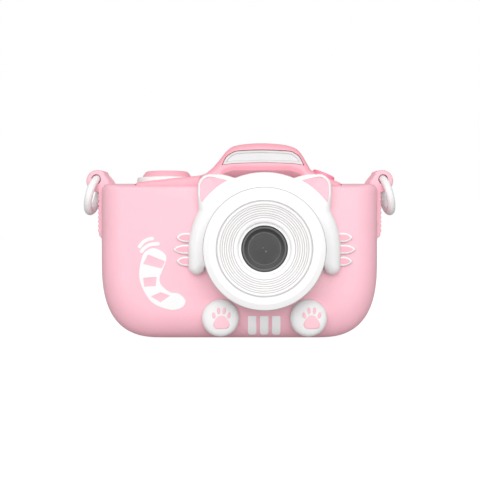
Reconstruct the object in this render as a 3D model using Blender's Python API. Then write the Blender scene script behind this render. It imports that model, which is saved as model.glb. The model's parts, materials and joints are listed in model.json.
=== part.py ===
"""Kids digital camera: a hard two-part case in a silicone sleeve with a cat-face front.

Run with: blender --background --python part.py

Frame: +Z is up, the lens looks along -Y, +X is on the right of someone who faces the lens.
The origin is at the middle of the footprint, on the surface that the camera stands on.
Lengths below are in millimetres and become metres where a mesh is made.
"""

from math import cos, hypot, pi, radians, sin

import bmesh
import bpy
from mathutils import Matrix, Vector

# Metres in a millimetre, the gap left between parts, and how far an offset corner may stretch
MM = 0.001
GAP = 0.3
LONGEST_MITRE = 1.6

# Sleeve: outer size, and how far its edges are rounded
HALF_WIDTH = 51.2
SLEEVE_TOP = 57.8
FACE_Y = -7.0
BACK_Y = 25.0
SIDE_ROUND = 8.5
FOOT_ROUND = 11.0
BACK_ROUND = 6.0
TOP_ROUND = 2.2
FRONT_DEPTH = 9.0
CORNER_X = 22.9
CORNER_Z = 29.6
CORNER_POWER = 2.75
TOP_CORNER = 2.6
SLEEVE_WALL = 2.0
SHELL_WALL = 1.8
SPLIT_Y = 9.0

# Deck and hump of the hard case
DECK_LEFT = -38.0
DECK_RIGHT = 37.4
DECK_FRONT = -4.6
DECK_BACK = 22.6
BROW_FRONT = -7.5
BROW_BOTTOM = 62.2

# Lens and cat face, both on one axis
LENS_X = 9.3
LENS_Z = 33.8
BARREL_RADIUS = 21.7
BARREL_FRONT = 25.0
FACE_RADIUS = 27.6
FACE_FRONT = -12.5
ARM_RADIUS = 3.05

# Rings stepped into the lens funnel: how many, how far in each one goes, and how far down
FUNNEL_STEPS = 4
FUNNEL_STEP = 1.4
FUNNEL_DROP = 0.35

# Paws, about the lens axis, and where their pads sit on them
PAW_X = 16.0
PAW_Z = 8.6
PAD_SHIFT = 0.75
PAD_SPREAD = 0.3

# Strap lugs, rings and side strips
LUG_X = 53.6
LUG_Y = 8.0
LUG_HOLE_Z = 59.7
LUG_HOLE = 2.25
LUG_THICKNESS = 6.0
LUG_YAW = 7.6
RING_RADIUS = 6.4
RING_TUBE = 1.5
RING_RISE = 0.35
RING_TILT = 14.5

# Shoulder buttons
SHUTTER_X = -27.5
SHOULDER_Y = 8.0
SHUTTER_RING = 11.2
SHUTTER_TOP = 62.7
POWER_X = 31.2
POWER_Z = 60.4
POWER_TILT = 22.0

# Flap over the sockets: its reach along Y and Z
FLAP_Y = (8.6, 18.3)
FLAP_Z = (18.0, 37.0)

# Back: screen and keys
SCREEN_X = 7.0
SCREEN_Z = 30.5
KEYS_X = -32.5
KEYS_Z = 30.5
KEY_FRONT = 24.3
MENU_Z = 47.0
MODE_Z = 14.0
REAR_LENS_Z = 64.5

SCREW_PLACES = ((-39.5, 9.8), (39.5, 9.8), (-41.5, 51.0), (41.5, 51.0))

# Surface colours as sRGB values from 0 to 255, roughness, metallic
MATERIALS = {
    "pink_silicone": ((255, 208, 220), 0.55, 0.0),
    "pink_shell": ((250, 182, 198), 0.38, 0.0),
    "pink_button": ((255, 160, 190), 0.35, 0.0),
    "white_silicone": ((252, 252, 252), 0.5, 0.0),
    "white_plastic": ((250, 250, 250), 0.3, 0.0),
    "pale_print": ((228, 228, 228), 0.45, 0.0),
    "diffuser": ((240, 240, 241), 0.35, 0.0),
    "dark_glass": ((60, 60, 62), 0.08, 0.0),
    "black_plastic": ((32, 32, 34), 0.5, 0.0),
    "circuit_board": ((30, 96, 58), 0.45, 0.0),
    "battery_wrap": ((176, 180, 186), 0.35, 0.2),
    "steel": ((190, 190, 192), 0.3, 1.0),
}


# ---------------------------------------------------------------- outlines

def arc(centre, radius, start, end, steps):
    """Points on an arc, with its angles in degrees."""
    points = []
    for index in range(steps + 1):
        angle = radians(start + (end - start) * index / steps)
        points.append((centre[0] + radius * cos(angle), centre[1] + radius * sin(angle)))
    return points


def smooth(points, steps, closed=False):
    """Points along a smooth curve through the given points."""
    count = len(points)
    spans = count if closed else count - 1
    result = []
    for index in range(spans):
        near = [points[(index + shift) % count] for shift in (-1, 0, 1, 2)]
        if not closed and index == 0:
            near[0] = points[0]
        if not closed and index == spans - 1:
            near[3] = points[-1]
        for step in range(steps):
            result.append(tuple(blend(values, step / steps) for values in zip(*near)))
    if not closed:
        result.append(points[-1])
    return result


def blend(values, t):
    """Catmull-Rom blend of four values, between the second and the third."""
    before, first, second, after = values
    slope = (second - before) / 2
    bend = before - 2.5 * first + 2 * second - after / 2
    twist = 1.5 * (first - second) + (after - before) / 2
    return first + slope * t + bend * t * t + twist * t ** 3


def grow(outline, distance):
    """Move a closed outline outwards, or inwards if the distance is negative."""
    count = len(outline)
    area = 0
    for (last_x, last_z), (x, z) in zip(outline[-1:] + outline[:-1], outline):
        area += last_x * z - x * last_z
    sign = 1 if area > 0 else -1
    result = []
    for index, (x, z) in enumerate(outline):
        before = Vector(outline[index - 1])
        after = Vector(outline[(index + 1) % count])
        first = (Vector((x, z)) - before).normalized()
        second = (after - Vector((x, z))).normalized()
        normal = Vector((first.y + second.y, -first.x - second.x)).normalized()
        stretch = min(1 / max(normal.dot(Vector((first.y, -first.x))), 0.5), LONGEST_MITRE)
        step = normal * distance * stretch * sign
        result.append((x + step.x, z + step.y))
    return result


def mirrored(outline):
    """The outline's other half, in reverse order, without points on the middle line."""
    return [(-x, z) for x, z in reversed(outline) if abs(x) > 0.01]


def moved(outline, x, z):
    """The outline, shifted."""
    return [(px + x, pz + z) for px, pz in outline]


def rounded_box(width, height, radius):
    """Outline of a box with round corners, about the middle."""
    outline = []
    for turn, (side, level) in enumerate(((1, 1), (-1, 1), (-1, -1), (1, -1))):
        centre = (side * (width / 2 - radius), level * (height / 2 - radius))
        outline += arc(centre, radius, turn * 90, turn * 90 + 90, 4)
    return outline


def oval(width, height, steps=16):
    """Outline of an ellipse about the middle."""
    angles = [2 * pi * index / steps for index in range(steps)]
    return [(width / 2 * cos(angle), height / 2 * sin(angle)) for angle in angles]


# ---------------------------------------------------------------- meshes

def make_object(name, points, faces):
    """A mesh object from points in millimetres, with its faces pointing out."""
    mesh = bpy.data.meshes.new(name)
    mesh.from_pydata([Vector(point) * MM for point in points], [], faces)
    shape = bmesh.new()
    shape.from_mesh(mesh)
    bmesh.ops.recalc_face_normals(shape, faces=shape.faces)
    shape.to_mesh(mesh)
    shape.free()
    part = bpy.data.objects.new(name, mesh)
    bpy.context.collection.objects.link(part)
    return part


def loft(rings, name="tool"):
    """A solid through rings of points, closed at both ends."""
    count = len(rings[0])
    points = [point for ring in rings for point in ring]
    faces = [tuple(range(count)), tuple(range(len(points) - count, len(points)))]
    for level in range(len(rings) - 1):
        for index in range(count):
            after = (index + 1) % count
            start = level * count
            faces.append((start + index, start + after, start + count + after, start + count + index))
    return make_object(name, points, faces)


def plate(outline, front, back, name="tool", edge=0.0, steps=2):
    """An XZ outline made into a solid between two depths, with its front edge rounded."""
    rings = []
    if edge:
        for step in range(steps, 0, -1):
            angle = radians(90 * step / steps)
            inset = grow(outline, -edge * (1 - cos(angle)) * 0.999)
            rings.append([(x, front + edge * (1 - sin(angle)), z) for x, z in inset])
        rings.append([(x, front + edge, z) for x, z in outline])
    else:
        rings.append([(x, front, z) for x, z in outline])
    rings.append([(x, back, z) for x, z in outline])
    return loft(rings, name)


def turned(profile, segments=32, closed=False):
    """A profile of (radius, height) pairs turned about +Z."""
    points = []
    rows = []
    for radius, height in profile:
        if radius < 1e-6:
            rows.append([len(points)] * segments)
            points.append((0, 0, height))
            continue
        rows.append([len(points) + index for index in range(segments)])
        for index in range(segments):
            angle = 2 * pi * index / segments
            points.append((radius * cos(angle), radius * sin(angle), height))
    faces = []
    spans = len(rows) if closed else len(rows) - 1
    for level in range(spans):
        low = rows[level]
        high = rows[(level + 1) % len(rows)]
        for index in range(segments):
            after = (index + 1) % segments
            corners = list(dict.fromkeys((low[index], low[after], high[after], high[index])))
            faces.append(tuple(corners))
    return make_object("tool", points, faces)


def place(part, location, direction=(0, 0, 1)):
    """Turn a part's +Z towards a direction, move it, and keep that in its mesh."""
    turn = Vector((0, 0, 1)).rotation_difference(Vector(direction)).to_matrix().to_4x4()
    part.data.transform(Matrix.Translation(Vector(location) * MM) @ turn)
    part.data.update()
    return part


def box(low, high, name="tool"):
    """A box between two corners."""
    outline = ((low[0], low[2]), (high[0], low[2]), (high[0], high[2]), (low[0], high[2]))
    return plate(outline, low[1], high[1], name)


def rod(centre, radius, start, end, segments=24):
    """A round rod along Y at an (x, z) centre."""
    return plate(moved(oval(2 * radius, 2 * radius, segments), *centre), start, end)


def combine(part, tool, operation):
    """Boolean one part with a tool, which is used up."""
    step = part.modifiers.new("combine", "BOOLEAN")
    step.solver = "EXACT"
    step.operation = operation
    step.object = tool
    evaluated = part.evaluated_get(bpy.context.evaluated_depsgraph_get())
    part.data = bpy.data.meshes.new_from_object(evaluated)
    part.modifiers.clear()
    bpy.data.objects.remove(tool)
    return part


def add(part, *tools):
    """Join solids to a part."""
    for tool in tools:
        combine(part, tool, "UNION")
    return part


def cut(part, *tools):
    """Take solids away from a part."""
    for tool in tools:
        combine(part, tool, "DIFFERENCE")
    return part


def finish(part, name, material, pivot=None):
    """Name a part, give it its material and shading, and put its origin on its joint."""
    part.name = name
    part.data.name = name
    part.data.materials.clear()
    part.data.materials.append(MADE[material])
    part.data.shade_smooth()
    part.data.set_sharp_from_angle(angle=radians(32))
    if pivot:
        part.data.transform(Matrix.Translation(Vector(pivot) * -MM))
        part.location = Vector(pivot) * MM
    return part


def make_materials():
    """One Principled material for each entry of MATERIALS."""
    made = {}
    for name, (colour, roughness, metallic) in MATERIALS.items():
        material = bpy.data.materials.new(name)
        material.use_nodes = True
        shader = material.node_tree.nodes["Principled BSDF"]
        linear = [(value / 255) ** 2.2 for value in colour]
        shader.inputs["Base Color"].default_value = (*linear, 1)
        shader.inputs["Roughness"].default_value = roughness
        shader.inputs["Metallic"].default_value = metallic
        material.diffuse_color = (*linear, 1)
        made[name] = material
    return made


# ---------------------------------------------------------------- case shapes

def case_outline(half_width, bottom, top, corner_x, corner_z, top_corner):
    """Case outline in XZ: straight sides, superellipse bottom corners, small top ones."""
    steps = 6
    right = []
    for index in range(steps + 1):
        angle = pi / 2 * index / steps
        x = half_width - corner_x * (1 - sin(angle) ** (2 / CORNER_POWER))
        z = bottom + corner_z * (1 - cos(angle) ** (2 / CORNER_POWER))
        right.append((x, z))
    right += arc((half_width - top_corner, top - top_corner), top_corner, 0, 90, 2)
    return right + [(-x, z) for x, z in reversed(right)]


def case_ring(depth, angle, extra, back=False):
    """Case outline where its edge has turned by an angle, with extra size all round."""
    turn = 1 - cos(radians(angle))
    side = max((BACK_ROUND if back else SIDE_ROUND) + extra, 0.5) * turn
    foot = max((BACK_ROUND if back else FOOT_ROUND) + extra, 0.5) * turn
    head = max(TOP_ROUND + extra, 0.2) * turn
    outline = case_outline(
        HALF_WIDTH + extra - side,
        foot - extra,
        SLEEVE_TOP + extra - head,
        CORNER_X + extra - side * 0.6,
        CORNER_Z + extra - foot * 0.9,
        max(TOP_CORNER + extra - head * 0.5, 0.4),
    )
    return [(x, depth, z) for x, z in outline]


def case_solid(extra):
    """The whole case as one solid, grown or shrunk by an extra size."""
    front_centre = FACE_Y + FRONT_DEPTH
    back_centre = BACK_Y - BACK_ROUND
    rings = []
    for angle in (90, 60, 30, 0):
        rings.append(case_ring(front_centre - (FRONT_DEPTH + extra) * sin(radians(angle)), angle, extra))
    for angle in (0, 45, 90):
        depth = back_centre + (BACK_ROUND + extra) * sin(radians(angle))
        rings.append(case_ring(depth, angle, extra, back=True))
    return loft(rings)


def deck_line(steps):
    """The line of the deck and the hump, from right to left."""
    slope = sin(radians(POWER_TILT)) / cos(radians(POWER_TILT))
    line = [
        (DECK_RIGHT, POWER_Z - (DECK_RIGHT - POWER_X) * slope),
        (POWER_X, POWER_Z),
        (26.8, 62.3),
        (25.2, 64.5),
        (23.2, 67.9),
        (21.0, 70.3),
        (16.6, 71.8),
        (7.8, 72.4),
        (-0.9, 71.6),
        (-4.4, 69.7),
        (-7.5, 65.9),
        (-10.6, 62.6),
        (-14.3, 60.7),
        (-26.0, 59.5),
        (DECK_LEFT, 58.0),
    ]
    return smooth(line, steps)


def deck_solid(inset):
    """The deck and hump from front to back, shrunk by an inset on every side."""
    outline = [(DECK_LEFT, 50.0)] + [(DECK_RIGHT, 50.0)] + deck_line(2)
    outline = grow(outline, -inset) if inset else outline
    rings = []
    for back in (0, 1):
        for angle in ((90, 45, 0), (0, 45, 90))[back]:
            radius = max((3.5 if back else 1.4) - inset, 0.3)
            shift = radius * (1 - sin(radians(angle)))
            depth = (DECK_BACK - inset - shift) if back else (DECK_FRONT + inset + shift)
            ring = grow(outline, -radius * (1 - cos(radians(angle)))) if angle else outline
            rings.append([(x, depth, z) for x, z in ring])
    return loft(rings)


def hard_case():
    """The hard case before it is split: a hollow body with deck and hump."""
    body = add(case_solid(-SLEEVE_WALL - GAP), deck_solid(0))
    hollow = add(case_solid(-SLEEVE_WALL - GAP - SHELL_WALL), deck_solid(SHELL_WALL))
    return cut(body, hollow)


def face_half(reach):
    """Right half of the cat-face frame's outer edge, from the top to the arm's end."""
    radius = FACE_RADIUS + reach
    points = arc((0, 0), radius, 90, 67.8, 5)
    points += [(14.0, 26.45 + reach)]
    points += arc((19.5, 22.3), 4.6 + reach, 95, 0, 6)
    points += [(24.05 + reach, 16.5)]
    points += arc((0, 0), radius, 29, 0, 6)
    return points


def face_outline():
    """Closed outline of the frame about the lens axis: head arc, ears and two arms."""
    arm_x = FACE_RADIUS - ARM_RADIUS
    half = face_half(0)
    half += arc((arm_x, -6.4), ARM_RADIUS, 0, -180, 7)
    half += arc((0, 0), BARREL_RADIUS + 0.4, -15, 90, 14)
    return half + mirrored(half)


def ear_outline(extra):
    """Outline of the right ear's inlay about the lens axis."""
    points = arc((0, 0), FACE_RADIUS + 0.4, 36.5, 61.5, 5)
    points += arc((19.5, 22.3), 3.6, 100, 0, 6)
    points += [(23.1, 17.6)]
    return grow(points, extra) if extra else points


def face_place(outline, side=1):
    """An outline about the lens axis, mirrored for the left side, moved to the lens."""
    return moved([(side * x, z) for x, z in outline], LENS_X, LENS_Z)


def on_face(outline, thickness, name):
    """A thin piece that follows the sleeve's front, a gap clear of it."""
    blank = plate(outline, FACE_Y - 3, FACE_Y + 12)
    combine(blank, case_solid(GAP + thickness), "INTERSECT")
    piece = cut(blank, case_solid(GAP))
    piece.name = name
    return piece


# ---------------------------------------------------------------- sleeve and face

def lug(side):
    """Strap lug at a top corner: an arch with a hole, turned out a little at the front."""
    outline = [(48.6, 56.0), (49.0, 57.9), (51.0, 62.0)]
    outline += arc((53.4, 59.1), 4.15, 115, -70, 8)
    outline += [(52.2, 54.2), (50.0, 53.6)]
    half = LUG_THICKNESS / 2
    solid = plate(outline, -half, half)
    cut(solid, rod((LUG_X, LUG_HOLE_Z), LUG_HOLE, -half - 1, half + 1, 20))
    return turn_out(solid, side)


def turn_out(solid, side):
    """Turn a right-hand solid about the lug's upright line, and mirror it for the left."""
    lug_line = Vector((LUG_X, 0, 0)) * MM
    turn = Matrix.Rotation(radians(LUG_YAW), 4, "Z")
    place_back = Matrix.Translation(Vector((LUG_X, LUG_Y, 0)) * MM)
    solid.data.transform(place_back @ turn @ Matrix.Translation(-lug_line))
    if side < 0:
        solid.data.transform(Matrix.Scale(-1, 4, (1, 0, 0)))
        solid.data.flip_normals()
    return solid


def side_strip(side):
    """Strip down the side below a lug."""
    outline = [(50.6, 37.0), (51.8, 37.6), (52.8, 38.4), (53.2, 39.6), (53.2, 56.0), (50.6, 56.0)]
    return plate([(side * x, z) for x, z in outline], LUG_Y - 2.7, LUG_Y + 2.7)


def head_backing():
    """Part of the sleeve that stands behind the cat's head, above the front's edge."""
    half = [(0, 26.8)] + [(x * 0.985, z - 0.7) for x, z in face_half(0)[3:14]] + [(23.2, 18)]
    outline = half + [(-x, z) for x, z in reversed(half[1:])]
    return plate(face_place(outline), FACE_Y + 0.05, DECK_FRONT - GAP)


def build_sleeve():
    """Silicone sleeve, open on top, with holes for the lens, the back and the sockets."""
    sleeve = case_solid(0)
    add(sleeve, lug(1), lug(-1), side_strip(1), side_strip(-1))
    opening = box((DECK_LEFT - GAP, FACE_Y + 1.8, 50), (DECK_RIGHT + GAP, BACK_Y - 1.8, 62))
    cut(sleeve, add(case_solid(-SLEEVE_WALL), opening))
    add(sleeve, head_backing())
    cut(sleeve, rod((LENS_X, LENS_Z), BARREL_RADIUS + 0.5, FACE_Y - 2, 0, 40))
    back = moved(rounded_box(87, 46, 6), 0, 30.5)
    cut(sleeve, plate(back, 20, 30))
    low = (47, FLAP_Y[0] - 0.4, FLAP_Z[0] - 0.4)
    high = (55, FLAP_Y[1] + 0.6, FLAP_Z[1] + 0.4)
    cut(sleeve, box(low, high))
    finish(sleeve, "silicone_sleeve", "pink_silicone")


def build_face():
    """White frame round the lens, with ear pockets and slots for the whisker strips."""
    frame = plate(face_place(face_outline()), FACE_FRONT, FACE_Y - GAP, edge=2.2, steps=3)
    for side in (1, -1):
        pocket = plate(face_place(ear_outline(GAP), side), FACE_FRONT - 1, FACE_FRONT + 1.5)
        slot_low = min(side * 24.6, side * 29.0) + LENS_X
        slot_high = max(side * 24.6, side * 29.0) + LENS_X
        slot = box((slot_low, FACE_Y - 1.3, 26.8), (slot_high, FACE_Y + 1, 40.4))
        cut(frame, pocket, slot)
    finish(frame, "cat_face_frame", "white_plastic")


def build_ear(side, name):
    """Pink inlay of one ear."""
    inlay = plate(face_place(ear_outline(0), side), FACE_FRONT + 0.1, FACE_FRONT + 1.5 - GAP, edge=0.4)
    finish(inlay, name, "pink_silicone")


def whisker_leaf(level, tip):
    """Edge of one whisker from its lower root to its upper root."""
    lower = smooth([(27.2, -1.6), (29.2, -1.75), (31.0, -1.2), (tip - 0.2, -0.3)], 2)
    leaf = lower + [(tip, 0)] + [(x, -z) for x, z in reversed(lower)]
    return [(x, z + level) for x, z in leaf]


def build_whiskers(side, name):
    """Three leaf-shaped whiskers on a strip that sits behind the arm."""
    outline = [(25.0, -6.4)]
    for level, tip in ((-4.6, 32.0), (-0.3, 33.1), (4.0, 32.0)):
        outline += whisker_leaf(level, tip)
    outline += [(25.0, 6.0)]
    solid = plate(face_place(outline, side), FACE_Y - 1.0, FACE_Y - GAP)
    finish(solid, name, "white_silicone")


def pad_shapes():
    """Outlines of a paw's main pad and four toes, about the paw's middle."""
    half = [(0, 1.1), (1.2, 0.75), (2.1, -0.3), (2.95, -1.9), (2.2, -3.6)]
    edge = half + [(-x, z) for x, z in reversed(half[1:])]
    shapes = [smooth(edge, 2, closed=True)]
    for x, z, lean in ((-2.75, 1.3, 12), (-1.05, 2.8, 4), (1.05, 2.8, -4), (2.75, 1.3, -12)):
        toe = []
        for px, pz in oval(1.3, 2.3, 10):
            turn = radians(lean)
            toe.append((x + px * cos(turn) - pz * sin(turn), z + px * sin(turn) + pz * cos(turn)))
        shapes.append(toe)
    return shapes


def build_paw(side, name, pad_name):
    """White paw dome, hollow behind, with its pink pad showing through five windows."""
    centre = (LENS_X + side * PAW_X, PAW_Z)
    pads = (centre[0] + PAD_SHIFT + side * PAD_SPREAD, PAW_Z)
    dome = turned([(0, -1), (6.75, -1), (6.75, 8.3), (6.3, 9.7), (5.2, 10.6), (3.0, 11.2), (0, 11.4)], 20)
    place(dome, (centre[0], 0, centre[1]), (0, -1, 0))
    cut(dome, case_solid(GAP))
    cut(dome, rod(centre, 5.4, -9.9, 2, 24))
    for shape in pad_shapes():
        cut(dome, plate(moved(grow(shape, 0.25), *pads), -12, -9))
    pad = rod(centre, 5.0, -9.6, -8.6, 24)
    for shape in pad_shapes():
        add(pad, plate(moved(grow(shape, -0.05), *pads), -11.5, -9.2))
    finish(dome, name, "white_silicone")
    finish(pad, pad_name, "pink_silicone")


def build_stripes():
    """Three pale bars with rounded feet, set on the curved foot of the sleeve."""
    for number, x in enumerate((4.8, 9.2, 13.6), 1):
        outline = arc((-0.6, 2.7), 0.95, 180, 270, 3) + arc((0.6, 2.7), 0.95, 270, 360, 3)
        outline += [(1.55, 8.9), (-1.55, 8.9)]
        stripe = on_face(moved(outline, x, 0.3), 0.6, "stripe")
        finish(stripe, "belly_stripe_%d" % number, "pale_print")


def build_tail():
    """Curved tail with three windows, and two small arcs above its tip."""
    edge = [
        (-30.8, 33.9), (-27.5, 32.3), (-26.5, 29.9), (-27.9, 25.8), (-28.9, 23.0), (-28.3, 20.5),
        (-25.2, 17.9), (-21.9, 17.3), (-19.5, 14.8), (-20.9, 12.2), (-25.2, 11.5), (-31.8, 14.3),
        (-35.6, 20.5), (-36.3, 25.5), (-35.1, 31.2), (-33.3, 33.2),
    ]
    windows = (
        ((-33.1, 31.6), (-26.9, 29.1), (-28.2, 26.5), (-34.9, 28.2)),
        ((-34.9, 23.1), (-30.0, 23.4), (-30.3, 20.1), (-34.5, 19.9)),
        ((-32.0, 16.3), (-28.5, 17.9), (-25.1, 16.6), (-28.6, 14.2)),
    )
    tail = on_face(smooth(edge, 2, closed=True), 0.6, "tail")
    for window in windows:
        cut(tail, plate(window, FACE_Y - 3, FACE_Y + 1))
    finish(tail, "tail_inlay", "white_silicone")
    marks = (
        ((-36.2, 34.5), (-34.9, 36.1), (-33.1, 37.1), (-31.6, 37.4)),
        ((-35.5, 32.8), (-34.4, 34.0), (-32.3, 35.2), (-29.5, 35.5)),
    )
    for number, line in enumerate(marks, 1):
        finish(on_face(ribbon(line, 1.0), 0.6, "mark"), "motion_mark_%d" % number, "white_silicone")


def ribbon(line, width):
    """Outline of a ribbon of a width along a smooth line."""
    path = smooth(list(line), 3)
    outer = []
    inner = []
    for index, (x, z) in enumerate(path):
        before = path[max(index - 1, 0)]
        after = path[min(index + 1, len(path) - 1)]
        length = hypot(after[0] - before[0], after[1] - before[1])
        side = ((after[1] - before[1]) / length * width / 2, -(after[0] - before[0]) / length * width / 2)
        outer.append((x + side[0], z + side[1]))
        inner.append((x - side[0], z - side[1]))
    return outer + inner[::-1]


def build_ring(side, name):
    """Strap ring through a lug, hanging out at a tilt; its origin is in the lug's hole."""
    profile = []
    for index in range(8):
        angle = 2 * pi * index / 8
        profile.append((RING_RADIUS + RING_TUBE * cos(angle), RING_TUBE * sin(angle)))
    ring = turned(profile, 26, closed=True)
    hang = Matrix.Translation(Vector((0, 0, RING_RISE - RING_RADIUS)) * MM)
    upright = Matrix.Rotation(radians(90), 4, "Y")
    swing = Matrix.Rotation(radians(-RING_TILT), 4, "Y")
    to_hole = Matrix.Translation(Vector((LUG_X, 0, LUG_HOLE_Z)) * MM)
    ring.data.transform(to_hole @ swing @ hang @ upright)
    turn_out(ring, side)
    finish(ring, name, "white_plastic", (side * LUG_X, LUG_Y, LUG_HOLE_Z))


# ---------------------------------------------------------------- hard case

def brow():
    """Front of the hump: the shell stands forward above the lens, over a rounded lip."""
    top = [point for point in deck_line(3) if point[1] > BROW_BOTTOM + 1.6 and -10 < point[0] < 27]
    lip = smooth([(-7.6, BROW_BOTTOM - 0.6), (9.3, BROW_BOTTOM), (25.0, BROW_BOTTOM - 0.6)], 4)
    outline = top + lip
    rings = []
    for inset, depth in ((1.6, BROW_FRONT), (0.6, BROW_FRONT + 0.6), (0.2, BROW_FRONT + 1.6), (0.2, -3.5)):
        rings.append([(x, depth, z) for x, z in grow(outline, -inset)])
    return loft(rings)


def window_outline(extra):
    """Outline of the flash window: an arched top between two low pointed corners."""
    top = [(23.6, 64.2), (21.4, 67.7), (19.4, 68.9), (9.0, 69.6), (-1.0, 69.2), (-3.6, 67.8), (-5.8, 64.3)]
    bottom = [(-2.0, 64.8), (9.0, 65.1), (20.0, 64.8)]
    outline = smooth(top, 2) + smooth(bottom, 2)
    return grow(outline, extra) if extra else outline


def screw_bosses(radius, start, end):
    """One round solid at each screw."""
    return [rod(centre, radius, start, end, 12) for centre in SCREW_PLACES]


def build_shells():
    """Front and rear case halves, with every opening that they carry."""
    case = add(hard_case(), brow())
    cut(case, plate(window_outline(GAP), BROW_FRONT - 1, BROW_FRONT + 2.2))
    cut(case, box((LENS_X - 11, BROW_FRONT, 65.4), (LENS_X + 11, 0, 68.2)))
    rear = case.copy()
    rear.data = case.data.copy()
    bpy.context.collection.objects.link(rear)
    front = cut(case, box((-60, SPLIT_Y - GAP / 2, -5), (60, 40, 80)))
    rear = cut(rear, box((-60, -30, -5), (60, SPLIT_Y + GAP / 2, 80)))
    shape_front_shell(front)
    shape_rear_shell(rear)
    finish(front, "front_shell", "pink_shell")
    finish(rear, "rear_shell", "pink_shell")


def shoulder_cuts():
    """Pockets and holes of the two shoulder buttons."""
    ring = place(turned([(0, 57.6), (11.5, 57.6), (11.5, 66), (0, 66)], 28), (SHUTTER_X, SHOULDER_Y, 0))
    stem = place(turned([(0, 50), (4.3, 50), (4.3, 60), (0, 60)], 16), (SHUTTER_X, SHOULDER_Y, 0))
    power = turned([(0, -6), (3.4, -6), (3.4, -0.6), (4.8, -0.6), (4.8, 5), (0, 5)], 18)
    place(power, (POWER_X, SHOULDER_Y, POWER_Z), power_direction())
    return ring, stem, power


def power_direction():
    """The way that the power button faces, out of the right shoulder."""
    return (sin(radians(POWER_TILT)), 0, cos(radians(POWER_TILT)))


def shape_front_shell(front):
    """Lens hole, shoulder pockets and screw bosses of the front half."""
    add(front, *screw_bosses(2.9, -1.5, SPLIT_Y - GAP / 2))
    cut(front, *screw_bosses(1.3, 0, SPLIT_Y + 1))
    cut(front, rod((LENS_X, LENS_Z), 16.5, DECK_FRONT - 2, 0, 32))
    cut(front, *shoulder_cuts())


def shape_rear_shell(rear):
    """Screen, key, lens and socket openings and screw bosses of the rear half."""
    add(rear, *screw_bosses(3.1, SPLIT_Y + GAP / 2, DECK_BACK - 1))
    cut(rear, *screw_bosses(1.3, 0, 30))
    cut(rear, *screw_bosses(2.3, 13.5, 30))
    cut(rear, *shoulder_cuts())
    cut(rear, box((46, FLAP_Y[0] + 1, FLAP_Z[0] - 1), (52, FLAP_Y[1] - 1.3, FLAP_Z[1] - 0.6)))
    cut(rear, plate(screen_outline(GAP), DECK_BACK - 1.0, 30))
    cut(rear, plate(screen_outline(-3.2), 19, 30))
    for outline in key_outlines().values():
        cut(rear, plate(grow(outline, 0.25), 20.75, 30))
    cut(rear, rod((LENS_X, REAR_LENS_Z), 3.5 + GAP, DECK_BACK - 0.9, 30))
    cut(rear, rod((LENS_X, REAR_LENS_Z), 2.2, 19, 30))


def screen_outline(extra):
    """Outline of the clear window over the display."""
    return moved(rounded_box(50 + 2 * extra, 38 + 2 * extra, 3 + extra / 2), SCREEN_X, SCREEN_Z)


def key_outlines():
    """Outline of each key on the back."""
    keys = {
        "ok_button": moved(oval(6.0, 6.0), KEYS_X, KEYS_Z),
        "menu_button": moved(oval(6.0, 6.0), KEYS_X, MENU_Z),
        "mode_button": moved(oval(6.0, 6.0), KEYS_X, MODE_Z),
    }
    for number, name in enumerate(("dpad_right", "dpad_up", "dpad_left", "dpad_down")):
        middle = 180 - number * 90 if number % 2 == 0 else number * 90
        quarter = arc((0, 0), 9.4, middle - 34, middle + 34, 5)
        quarter += arc((0, 0), 4.5, middle + 26, middle - 26, 3)
        keys[name] = moved(quarter, KEYS_X, KEYS_Z)
    return keys


def build_screws():
    """Four case screws with their heads at the foot of deep holes."""
    profile = [(0, 0.6), (1.0, 0.6), (1.0, 13.8), (1.9, 13.8), (1.9, 15.2)]
    profile += [(0.7, 15.2), (0.5, 14.5), (0, 14.5)]
    for number, (x, z) in enumerate(SCREW_PLACES, 1):
        screw = place(turned(profile, 10), (x, 0, z), (0, 1, 0))
        finish(screw, "case_screw_%d" % number, "steel")


# ---------------------------------------------------------------- lens and flash

def build_lens():
    """White barrel, ribbed funnel and dark window, turned about the lens axis."""
    barrel = [
        (BARREL_RADIUS, 5.1), (BARREL_RADIUS, 23.0), (21.1, 24.1), (18.8, BARREL_FRONT),
        (17.1, BARREL_FRONT), (17.1, 23.6), (19.6, 23.0), (19.6, 7.0), (17.5, 7.0), (17.5, 5.1),
    ]
    funnel = [(19.2, 22.6), (16.7, 23.3), (16.7, BARREL_FRONT - 0.2)]
    radius = 16.2
    height = BARREL_FRONT - 0.2
    for _ in range(FUNNEL_STEPS):
        funnel += [(radius, height), (radius - 0.25, height - 0.6)]
        radius -= FUNNEL_STEP
        height -= FUNNEL_DROP
    funnel += [(9.6, 23.1), (9.2, 22.0), (8.7, 21.6), (8.7, 18.6), (9.6, 18.6), (10.4, 20.2), (16.0, 21.6)]
    funnel += [(19.2, 21.6)]
    glass = [(0, 19.8), (8.4, 19.8), (8.4, 21.2), (7.7, 21.4), (7.3, 20.9), (6.0, 20.7), (0, 20.7)]
    axis = (LENS_X, 0, LENS_Z)
    forward = (0, -1, 0)
    finish(place(turned(barrel, 36, closed=True), axis, forward), "lens_barrel", "white_plastic")
    finish(place(turned(funnel, 28, closed=True), axis, forward), "lens_trim_ring", "white_plastic")
    finish(place(turned(glass, 24), axis, forward), "lens_window", "dark_glass")


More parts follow.
